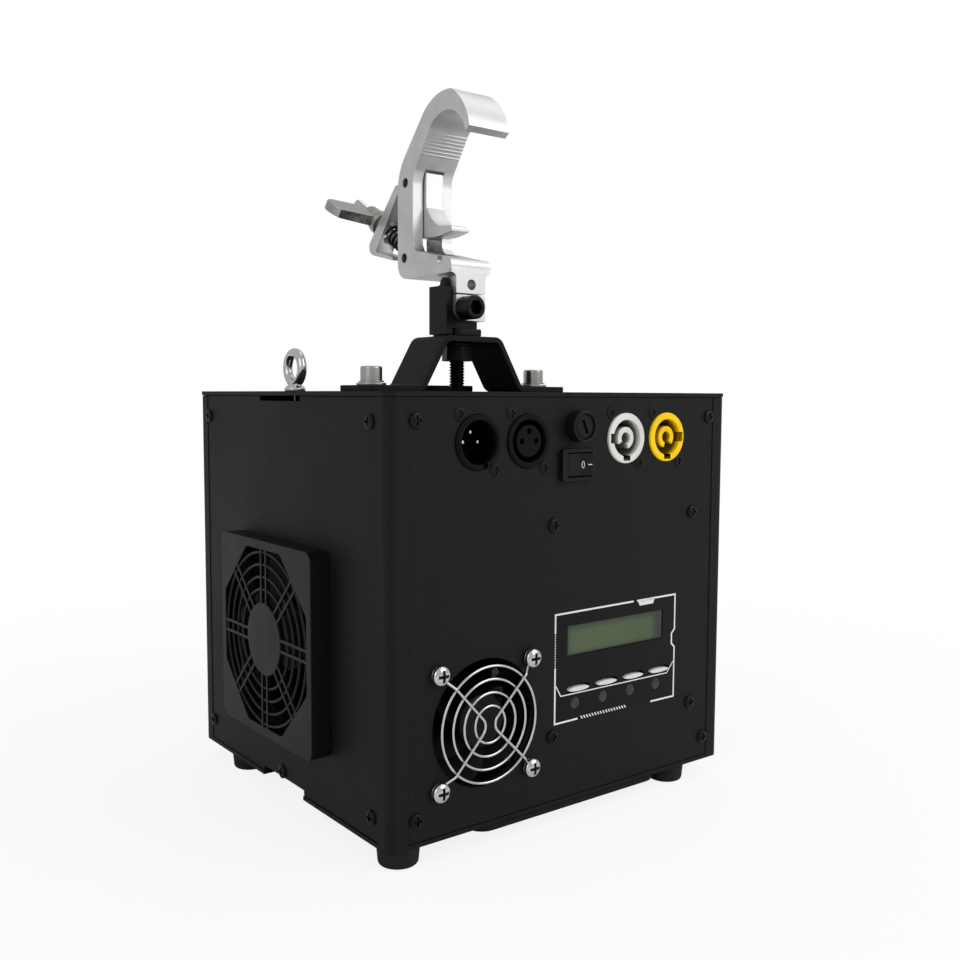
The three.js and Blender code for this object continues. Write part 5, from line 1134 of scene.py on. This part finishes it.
def fan_wheel(depth, radius, hub, count, finish):
    """Hub and swept blades about Z."""
    low, high = 0.5, depth - 2.25
    root, reach = hub * 0.9, radius - 0.9
    rows, steps = 7, 8

    def point(row, step, side):
        share, t = row / (rows - 1), step / (steps - 1)
        out = root + (reach - root) * share
        chord = (2 * math.pi / count) * (0.82 - 0.1 * share)
        turn = 0.35 * share * share + chord * (t - 0.5)
        rise = (high - low - 2.0) * (t + 0.10 * math.sin(math.pi * t)) * (1 - 0.12 * share)
        return out * math.cos(turn), out * math.sin(turn), low + 1.0 + rise + side

    line = [(step, 0.45) for step in range(steps)] + [(step, -0.45) for step in reversed(range(steps))]
    blade = loft([[point(row, step, side) for step, side in line] for row in range(rows)], strips=True)
    boss = turned([(0, low), (hub, low, 1.4), (hub, high, 0.3), (0, high)], steps=5)
    return merged(boss, grown(round_tree(), blade, finish, Count=count))


class SPARK_OT_front_fan(Maker):
    """Small fan with its bright wire guard and four screws"""

    bl_idname = "spark.front_fan"
    bl_label = "Front fan"

    def build(self, scene):
        x, z = FRONT_FAN
        seat = (x, FRONT + BEHIND, z)
        shroud = placed(fan_frame(60, 20, 28.2, 50, 12), seat, -90, "X")
        add("front_fan_shroud", shroud, "black_plastic", "front_fan_frame")
        wheel = placed(fan_wheel(20, 28.2, 12, 7, "black_plastic"), seat, -90, "X")
        add("front_fan_blades", wheel, "black_plastic", "front_fan_rotor", body="front_fan_wheel")
        self.guard(x, z)

    def guard(self, x, z):
        """Four wire rings on two bent spokes that end in eyes under the screws."""
        wire = case_size("guard_wire") / 2
        ring_place = FRONT - 3.1
        rings = grown(ring_tree(), bmesh.new(), "bright_steel", Count=4, First=8.1, Step=5.8, Wire=wire)
        shapes = [placed(rings, (x, ring_place, z), 90, "X")]
        front = ring_place - 2 * wire + 0.15
        for side, middle in ((-1, -3.4), (1, 1.9)):
            half = [(25, FRONT - wire - 0.3, 22.6), (22.6, FRONT - wire - 0.6, 22.2), (19.0, front, 18.9)]
            half.append((side * middle, front, 1.9))
            upper, lower = ([(x + side * u, y, z + up * v) for u, y, v in half] for up in (1, -1))
            radii = [0, 1.5, 2.5, 4.5, 4.5, 2.5, 1.5, 0]
            shapes.append(tube(softened(upper + lower[::-1], radii, 6, False), wire, 12))
            for up in (1, -1):
                eye = [(u, FRONT - wire - 0.25, v) for u, v in ring_of(x + side * 25, z + up * 25, 3.5, 24)]
                shapes.append(tube(eye, wire, 10, True))
        add("wire_guard", merged(*shapes), "bright_steel", "front_fan_guard", smooth=60)
        spots = [((x + u, FRONT - 2 * wire - 0.2, z + v), FACING_FRONT) for u in (-25, 25) for v in (-25, 25)]
        head = case_size("guard_screw")
        washer = merged(pan_screw(head, 2.9, 40), collar(head / 2 - 0.1, 2.2, -0.9, -0.15, 0.15, sides=40))
        add("guard_screws", on_points(washer, spots, "bright_steel"), "bright_steel")
        # Painted shade: a dark cross set just under each bright screw's top fills its recess and stands in
        # for the shadow at the recess's bottom.
        shadow = merged(*cross_tool(head * 0.14, head * 0.28, 0.1, 1.2))
        add("guard_screw_recesses", on_points(shadow, spots, "black_steel"), "black_steel")


class SPARK_OT_side_fan(Maker):
    """Large fan with its moulded guard"""

    bl_idname = "spark.side_fan"
    bl_label = "Side fan"

    def build(self, scene):
        seat = (LEFT + BEHIND, *SIDE_FAN)
        shroud = placed(fan_frame(92, 25, 43, 82.5, 17), seat, 90, "Y")
        add("side_fan_shroud", shroud, "black_plastic", "side_fan_frame")
        wheel = placed(fan_wheel(25, 43, 17, 7, "black_plastic"), seat, 90, "Y")
        add("side_fan_blades", wheel, "black_plastic", "side_fan_rotor", body="side_fan_wheel")
        depth = 9.4
        rim = prism(box_of(0, 0, 93, 93, 5, 6), "xy", 0, depth)
        opening = prism(softened(polygon(8, 42.2, math.pi / 8), 4.0, 4), "xy", -1, 12)
        inside = prism(box_of(0, 0, 89, 89, 3.5, 5), "xy", 2.0, 12)
        shell = worked(rim, [opening, inside], edge=0.4)
        bar = case_size("grille_bar") / 2
        rings = grown(ring_tree(), bmesh.new(), "black_plastic", Count=4, First=23.4, Step=5.85, Wire=bar)
        spoke = box_of(29.6, 0, 25.6, bar * 1.8, 0.3, 2)
        pair = merged(*[placed(prism(spoke, "xy", 0.2, 2.0), (0, side * 2.5, 0)) for side in (-1, 1)])
        spokes = grown(round_tree(), pair, "black_plastic", Count=8)
        hub = turned([(0, 0), (17.25, 0, 0.5), (17.25, 2.2, 0.2), (0, 2.2)], sides=96)
        guard = merged(shell, placed(rings, (0, 0, 1.1)), spokes, hub)
        guard = placed(guard, (-102 - GAP - depth, *SIDE_FAN), 90, "Y")
        add("moulded_guard", guard, "black_plastic", "side_fan_guard")


class SPARK_OT_lid(Maker):
    """Filler lid on its hinge"""

    bl_idname = "spark.lid"
    bl_label = "Filler lid"

    def build(self, scene):
        low, hinge = CASE_HEIGHT + GAP, 58.3
        plate = prism(box_of(0, (14.5 + hinge) / 2, 44, 43.8, 1.5), "xy", low, low + 3.4)
        grip = prism(box_of(0, 18.2, 16, 3.0, 1.2), "xy", low + 2.2, low + 4.2)
        knuckle = post(1.7, -22, 22, 0.3, "x", (hinge, low + 1.7), 32)
        lid = merged(worked(plate, [grip], edge=0.5), knuckle)
        add("filler_lid", lid, "powder_coat", "hopper_lid", body="lid")


class SPARK_OT_strap(Maker):
    """Hanging strap, its bolts and the eye bolt for the safety wire"""

    bl_idname = "spark.strap"
    bl_label = "Hanging strap"

    def build(self, scene):
        low, high = CASE_HEIGHT + GAP + 1.5, STRAP_TOP - 1.5
        route = [(-61.5, low), (-31.2, low), (-16.7, high), (16.7, high), (31.2, low), (61.5, low)]
        route = softened(route, 4.6, 7, False)
        strap = prism(strip(route, 3.0), "xz", -15, 15)
        strap = worked(strap, [bore(4.6, high - 4, high + 4)], edge=0.5, angle=50)
        add("bent_strap", strap, "powder_coat", "hanging_strap", smooth=40)
        seat = CASE_HEIGHT + GAP + 3 + GAP
        for side, name in ((-1, "left"), (1, "right")):
            screw = merged(
                socket_head(5.4, 7.3, 2.9, 4.2, seat + 1.8),
                post(3.9, CASE_HEIGHT - 12, seat + 2.2, 0.3),
                collar(7.4, 4.1, seat - 0.2, seat + 0.9, 0.25),
                self.lock_ring(6.3, 4.2, seat + 0.9, 1.1),
            )
            screw = placed(screw, (side * 52.3, 0, 0))
            add(f"strap_screw_{name}", screw, "nickel", f"strap_bolt_{name}")
        self.eye()

    def lock_ring(self, outer, inner, low, height):
        """A split spring washer."""
        opening, rise, steps = 0.15, 0.35, 44
        rings = []
        for step in range(steps + 1):
            turn = opening + (2 * math.pi - 2 * opening) * step / steps
            under = low + rise * step / steps
            over = under + height - rise
            section = ((inner, under), (outer, under), (outer, over), (inner, over))
            rings.append([(radius * math.cos(turn), radius * math.sin(turn), z) for radius, z in section])
        return loft(rings)

    def eye(self):
        low, deep, radius = CASE_HEIGHT + GAP, CASE_HEIGHT - 14, 8.1
        shank = [(0, deep), (3, deep, 0.4), (3, low, 0.1), (5.6, low, 0.4), (5.6, low + 1.6, 0.9)]
        shank += [(3.6, low + 3.6, 1.2), (0, low + 3.6)]
        neck = [(0, low + 2), (4.4, low + 2), (2.5, low + 5.2, 1.5), (0, low + 5.2)]
        hoop = tube([(0, u, v) for u, v in ring_of(0, low + 4.2 + radius, radius, 56)], 2.55, 20, True)
        parts = merged(turned(shank, sides=48), hoop, turned(neck, sides=40))
        add("safety_eye", placed(parts, (-62, 62, 0)), "bright_steel", "safety_eye_bolt", smooth=50)


class SPARK_OT_swivel(Maker):
    """Threaded swivel bolt with its flanged head, nut and washer"""

    bl_idname = "spark.swivel"
    bl_label = "Swivel bolt"

    def build(self, scene):
        pitch = clamp_size("swivel_pitch")
        under = STRAP_TOP - 3 - GAP - 1.2
        nut_low = under - 8
        screw = thread(4.1, 0.62 * pitch, pitch, nut_low - 14.4, STRAP_TOP + 0.5)
        head = prism(polygon(6, 11.9), "xy", STRAP_TOP + GAP, STRAP_TOP + 3.85)
        flat = prism(box_of(-19.35, 0, 20, 40), "xy", STRAP_TOP - 1, STRAP_TOP + 6)
        screw = merged(screw, worked(head, [flat], edge=0.5))
        add("swivel_screw", screw, "black_steel", "swivel_bolt", body="swivel")
        nut = prism(polygon(6, 7.0, 0.26), "xy", nut_low, under)
        nut = worked(nut, [bore(4.15, nut_low - 1, under + 1)], edge=0.45)
        washer = collar(8.4, 4.4, under, under + 1.2, 0.25)
        add("swivel_nut_and_washer", merged(nut, washer), "black_steel", "swivel_nut", body="swivel")


class SPARK_OT_yoke(Maker):
    """Black yoke and the cap screw through it"""

    bl_idname = "spark.yoke"
    bl_label = "Yoke"

    def build(self, scene):
        left, right, inner = -13.4, 6, -9.6
        top, high = YOKE + 3.6, YOKE + 21.4
        foot = [(left, YOKE - 3.1), (inner, YOKE - 3.1), (inner, YOKE), (right, YOKE), (right, top)]
        leg = foot + arc(-3.6, top + 6, 6, -90, -180, 10) + [(inner, high), (left, high)]
        start, bend, end = (-9.4, YOKE + 18.4), (-9.4, YOKE + 21.5), (-6.3, YOKE + 21.5)
        corner = prism([bend, start] + curve(start, bend, end, 6), "yz", -20, -9)
        back = [(-9.7, YOKE), (right, YOKE), (right, YOKE + 25), (-5, YOKE + 25), (-9.7, YOKE + 20)]
        cuts = [bore(4.4, 0, 8, "y", YOKE_SCREW), corner]
        leg = worked(prism(leg, "xz", -9.3, 6.1), cuts, [prism(back, "xz", 2.3, 6.1)], edge=0.9, steps=3)
        pin = post(3.2, -11.9, -9.0, 0.6, "x", (-4.2, YOKE + 22.6), 40)
        add("yoke_bracket", merged(leg, pin), "black_steel", "swivel_yoke", body="swivel", smooth=35)
        screw = merged(socket_head(6.0, 10, 3.4, 5.2, GAP), post(4, -17.5, 0.6, 0.5))
        screw = placed(screw, (YOKE_SCREW[0], -12, YOKE_SCREW[1]), 90, "X")
        add("yoke_cap_screw", screw, "black_steel", "yoke_bolt", body="swivel")


class SPARK_OT_clamp(Maker):
    """Cast hook with its arm, tongue, slot and ribbed grip"""

    bl_idname = "spark.clamp"
    bl_label = "Hook clamp"

    def build(self, scene):
        outline, under, grip = self.outline()
        hook = placed(prism(outline, "yz", -12.5, 12.5), (0, 0, CLAMP))
        low = YOKE + 3.85
        cuts = [prism(box_of(0, low + 13.3, 40, 0.8), "xz", -14, -3)]
        slot = softened([(4.5, 4.4), (40, 4.4), (40, 56.6), (4.5, 56.6)], [1.5, 0, 0, 0], 3)
        cuts.append(placed(prism(slot, "yz", -6.25, 6.25), (0, 0, CLAMP)))
        cuts += [bore(4.4, -13.5, 3.5, "y", YOKE_SCREW), bore(2.7, -13.5, -5, "y", (0.4, low + 18.2), 32)]
        cuts += [bore(2.55, -14, 14, "x", (y, CLAMP + z), 40) for y, z in (JAW_PIN, STUD_PIN)]
        cuts.append(bore(2.3, -14, -8.5, "x", (-1.8, CLAMP + 7.1), 32))
        body = worked(hook, cuts, [self.tongue(low)], edge=clamp_size("edge"), steps=3, angle=40)
        add("hook_casting", body, "aluminium", "clamp_body", body="swivel", smooth=30)
        self.ribs(under, grip)
        for name, (y, z) in (("jaw", JAW_PIN), ("stud", STUD_PIN)):
            rivet = post(2.3, -11.2, 11.2, 0.5, "x", (y, CLAMP + z), 40)
            add(f"{name}_rivet", rivet, "black_steel", f"{name}_pin", body="swivel")

    def outline(self):
        """The hook's outline over the clamp's base, and the two ends of its straight grip."""
        centre, corner, inside = (-6.2, 62.4), (37.2, 56.7), (22.5, 53.2)
        over = arc(*centre, 28.2, math.degrees(0.8), math.degrees(1.76), 22)
        under = arc(*centre, 18, math.degrees(2.89), math.degrees(0.64), 34)
        tip, apex = under[0], over[-1]
        lip = (tip[0] - 3.2, tip[1] + 2.3)
        grip = towards(inside, under[-1], 4.5)
        outline = [(-8.6, 0), (29.2, 0)] + arc(29.2, 8, 8, -90, 0, 8)[1:]
        outline += [(37.2, 46.1)] + curve((37.2, 46.1), corner, towards(corner, over[0], 10.6), 8) + over
        outline += curve(apex, ((apex[0] + lip[0]) / 2 - 5.2, (apex[1] + lip[1]) / 2 + 2.8), lip, 14) + under
        outline += [grip] + curve(grip, inside, (22.5, 48.7), 6)
        outline += [(22.5, 20)] + curve((22.5, 20), (22.5, 13), (15.5, 13), 8) + [(-8.6, 7.4)]
        outline += curve((-8.6, 7.4), (-12, 7.4), (-12, 4), 5) + curve((-12, 4), (-12, 0), (-8.6, 0), 5)[:-1]
        return outline, under[-1], grip

    def tongue(self, low):
        """The foot of the hook between the yoke's legs, widening into the base."""
        half, fillet, corner = 9.2, 3.0, 6.4
        outline = [(corner - half, low), (half, low), (half, CLAMP - fillet)]
        outline += arc(half + fillet, CLAMP - fillet, fillet, 180, 90, 6)
        outline += [(half + fillet, CLAMP + 3), (-half - fillet, CLAMP + 3)]
        outline += arc(-half - fillet, CLAMP - fillet, fillet, 90, 0, 6)
        outline += arc(corner - half, low + corner, corner, 180, 270, 8)[:-1]
        return prism(outline, "xz", -12, 2)

    def ribs(self, start, end):
        """Small ribs across the straight grip where the bar is pressed."""
        height = clamp_size("rib")
        rib = post(height, -12.1, 12.1, 0.4, "x", sides=12)
        places = [towards(start, end, 0.4 + 1.95 * step) for step in range(7)]
        spots = [((0, y, CLAMP + z), (0, 0, 0)) for y, z in places]
        add("grip_ribs", on_points(rib, spots, "aluminium"), "aluminium", body="swivel")


class SPARK_OT_jaw(Maker):
    """Jaw that lifts the bar and the trigger plate that moves it"""

    bl_idname = "spark.jaw"
    bl_label = "Jaw"

    def build(self, scene):
        half, face = 5.75, 20.3
        jaw = [(face, 55.2), (face, 37.6)] + curve((face, 37.6), (15.6, 29.2), (8.9, 26.2), 16)
        jaw += [(0.2, 25.4), (-2.8, 24.6), (-2.8, 22), (7.3, 20.7), (14.9, 20.7), (face, 21.5), (27, 21.5)]
        jaw += [(33.8, 28)] + arc(*JAW_PIN, 4.4, 0, 90, 8)
        hole = bore(2.5, -7, 7, "x", (JAW_PIN[0], CLAMP + JAW_PIN[1]), 32)
        jaw = worked(placed(prism(jaw, "yz", -half, half), (0, 0, CLAMP)), [hole], edge=0.6)
        add("jaw_casting", jaw, "aluminium", "clamp_jaw", body="jaw", smooth=34)
        plate = [(34.55, 53), (34.55, 49.6), (46.8, 49.6), (70.6, 19.4), (53, 14.6), (53, 12.6), (73.5, 17.4)]
        plate += curve((73.5, 17.4), (79.4, 19), (77.6, 24.8), 8) + [(50.4, 53)]
        plate = placed(prism(plate, "yz", -half, half), (0, 0, CLAMP))
        tool = moved(prism(box_of(0, 0, 7.2, 14, 3.59, 8), "xy", 9, 79), STUD)
        plate = worked(plate, [tool], edge=0.5, angle=30)
        add("trigger_strip", plate, "aluminium", "trigger_plate", body="jaw", smooth=34)


class SPARK_OT_stud(Maker):
    """Swing stud, its spring, washer and wing nut"""

    bl_idname = "spark.stud"
    bl_label = "Stud and wing nut"

    def build(self, scene):
        pitch = clamp_size("stud_pitch")
        eye = worked(post(4.6, -5, 5, 0.5, "x", sides=48), [bore(2.55, -7, 7, "x", sides=32)])
        parts = [eye, post(2.95, 2.8, 30, 0.2), thread(3.0, 0.5 * pitch, pitch, 29, 79.4)]
        parts.append(collar(5.8, 2.0, 9, 11))
        add("stud_rod", moved(merged(*parts), STUD), "zinc_steel", "swing_stud", body="stud", smooth=36)
        wire = clamp_size("spring_wire") / 2
        coil = grown(coil_tree(), bmesh.new(), "black_steel", Turns=5.5, Radius=4.9, Height=21.8, Wire=wire)
        coil = moved(placed(coil, (0, 0, 12.3)), STUD)
        spring = add("stud_spring", coil, "black_steel", "clamp_spring", body=None, smooth=60)
        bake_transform(spring)
        washer = moved(collar(7, 3.25, 46.7, 48.3), STUD)
        add("stud_flat_washer", washer, "zinc_steel", "stud_washer", body="washer")
        nut = moved(self.wings(), STUD @ Matrix.Rotation(0.1, 4, "Z"))
        add("wing_nut_forged", nut, "dark_zinc", "wing_nut", body="nut", smooth=40)

    def wings(self):
        """A forged nut with two flared wings, drawn along Z."""
        low, hole = 48.55, 3.15
        top = low + 15
        profile = [(hole, low, 0.3), (7, low, 0.5), (6.8, low + 3.4, 2), (5.6, low + 8, 3), (5.2, top, 0.9)]
        barrel = turned(profile + [(hole, top, 0.3)], sides=56, closed=True)
        outline = [(2.5, 2.2), (26.5, 1.6)] + curve((26.5, 1.6), (30.4, 3.4), (31.2, 10.6), 6)
        outline += curve((31.2, 10.6), (31.4, 15.4), (26.6, 17.6), 6) + [(8.3, 18.2), (2.5, 13.5)]
        faces = [[(u, side * (3.2 - 0.6 * u / 29.5), low + v) for u, v in outline] for side in (-1, 1)]
        wing = worked(loft(faces), edge=0.55, angle=50)
        return merged(barrel, wing, placed(merged(wing), turn=180))


class SPARK_OT_inside(Maker):
    """Finishes of the feed, heater, blower and power supply inside the case"""

    bl_idname = "spark.inside"
    bl_label = "Inner parts"

    def build(self, scene):
        dress("stainless", "hopper", "feed_tube", "nozzle")
        dress("bright_steel", "feed_screw")
        dress("zinc_steel", "feed_motor", "power_supply")
        dress("cast_iron", "heating_chamber")
        dress("heater", "heating_coil")
        dress("black_plastic", "blower_housing", "blower_wheel")


# Lamps by name: place, size across and power
LAMPS = {
    "key": ((-2.2, -0.9, 1.2), 1.8, 9.0),
    "fill": ((1.3, -2.0, 1.5), 2.0, 25.0),
    "top": ((0.9, 0.1, 1.9), 1.4, 5.0),
}
AIM = Vector((0, 0, 0.15))


class SPARK_OT_stage(Maker):
    """Floor, lamps, world and camera"""

    bl_idname = "spark.stage"
    bl_label = "Stage"

    def build(self, scene):
        self.floor(scene)
        self.world(scene)
        for name, lamp in LAMPS.items():
            self.lamp(scene, name, *lamp)
        self.camera(scene)
        scene.view_settings.view_transform = "Standard"

    def floor(self, scene):
        """A pale floor that fades into the white background away from the object."""
        shape = bmesh.new()
        bmesh.ops.create_grid(shape, x_segments=1, y_segments=1, size=6)
        obj = holder(shape, "floor")
        paint = Paint("floor_paper")
        lit = paint.node("ShaderNodeBsdfDiffuse", {}, {"Color": (0.93, 0.93, 0.93)})
        white = paint.node("ShaderNodeEmission", {}, {"Color": (1.0, 1.0, 1.0), "Strength": 1.0})
        far = paint.node("ShaderNodeVectorMath", {"operation": "LENGTH"}, [paint.place()], 1)
        far = far.within(0.22, 0.6)
        seen = paint.node("ShaderNodeLightPath") * (far * 0.14 + 0.86)
        mix = paint.node("ShaderNodeMixShader", {}, [seen, lit, white])
        paint.node("ShaderNodeOutputMaterial", {}, [mix])
        obj.data.materials.append(paint.material)
        obj.location.z = -0.0001

    def world(self, scene):
        """Even light that looks pure white to the camera."""
        world = bpy.data.worlds.new("studio")
        world.use_nodes = True
        sky = Graph(world.node_tree)
        kinds = ("Camera", "Transmission")
        rays = [sky.node("ShaderNodeLightPath", output=f"Is {kind} Ray") for kind in kinds]
        seen = sky.sum_of("MAXIMUM", *rays)
        looks = [{"Color": (1, 1, 1), "Strength": strength} for strength in (0.62, 1.0)]
        lights = [sky.node("ShaderNodeBackground", {}, look) for look in looks]
        sky.node("ShaderNodeOutputWorld", {}, [sky.node("ShaderNodeMixShader", {}, [seen, *lights])])
        scene.world = world

    def lamp(self, scene, name, place, size, power):
        """A round area lamp aimed at the object."""
        light = bpy.data.lights.new(name, "AREA")
        light.shape = "DISK"
        light.size = size
        light.energy = power
        obj = bpy.data.objects.new(name, light)
        obj.location = place
        obj.rotation_euler = (AIM - Vector(place)).to_track_quat("-Z", "Y").to_euler()
        scene.collection.objects.link(obj)

    def camera(self, scene):
        """The photograph's view, fitted to the case's corners."""
        yaw, pitch, roll = (math.radians(angle) for angle in (37.44, 4.65, 0.24))
        ahead = Vector((math.sin(yaw) * math.cos(pitch), math.cos(yaw) * math.cos(pitch), -math.sin(pitch)))
        right = Vector((math.cos(yaw), -math.sin(yaw), 0))
        up = right.cross(ahead)
        side = math.cos(roll) * right + math.sin(roll) * up
        rise = math.cos(roll) * up - math.sin(roll) * right
        camera = bpy.data.cameras.new("camera")
        camera.lens = 38.8
        camera.sensor_width = 36
        camera.clip_start = 0.01
        obj = bpy.data.objects.new("camera", camera)
        spot = CASE + Vector((-321.3, -439.9, 187.6)) * MM
        obj.matrix_world = Matrix.Translation(spot) @ Matrix((side, rise, -ahead)).transposed().to_4x4()
        scene.collection.objects.link(obj)
        scene.camera = obj


STEPS = (
    SPARK_OT_case,
    SPARK_OT_front_panel,
    SPARK_OT_screws,
    SPARK_OT_feet,
    SPARK_OT_signal_sockets,
    SPARK_OT_power_sockets,
    SPARK_OT_fuse,
    SPARK_OT_switch,
    SPARK_OT_display,
    SPARK_OT_front_fan,
    SPARK_OT_side_fan,
    SPARK_OT_lid,
    SPARK_OT_strap,
    SPARK_OT_swivel,
    SPARK_OT_yoke,
    SPARK_OT_clamp,
    SPARK_OT_jaw,
    SPARK_OT_stud,
    SPARK_OT_inside,
    SPARK_OT_stage,
)


class SPARK_PT_panel(bpy.types.Panel):
    """Lists the pieces that can be built."""

    bl_idname = "SPARK_PT_panel"
    bl_label = "Spark Machine"
    bl_space_type = "VIEW_3D"
    bl_region_type = "UI"
    bl_category = "Spark Machine"

    def draw(self, context):
        for step in STEPS:
            self.layout.operator(step.bl_idname)
        for group in (context.scene.spark_case, context.scene.spark_clamp, context.scene.spark_colours):
            for name in group.__annotations__:
                self.layout.prop(group, name)


CLASSES = (CaseSizes, ClampSizes, Colours, *STEPS, SPARK_PT_panel)


def register():
    for item in CLASSES:
        bpy.utils.register_class(item)
    bpy.types.Scene.spark_case = bpy.props.PointerProperty(type=CaseSizes)
    bpy.types.Scene.spark_clamp = bpy.props.PointerProperty(type=ClampSizes)
    bpy.types.Scene.spark_colours = bpy.props.PointerProperty(type=Colours)


def unregister():
    for name in ("spark_case", "spark_clamp", "spark_colours"):
        delattr(bpy.types.Scene, name)
    for item in reversed(CLASSES):
        bpy.utils.unregister_class(item)


def main():
    register()
    for step in STEPS:
        family, name = step.bl_idname.split(".")
        getattr(getattr(bpy.ops, family), name)()


if __name__ == "__main__":
    main()
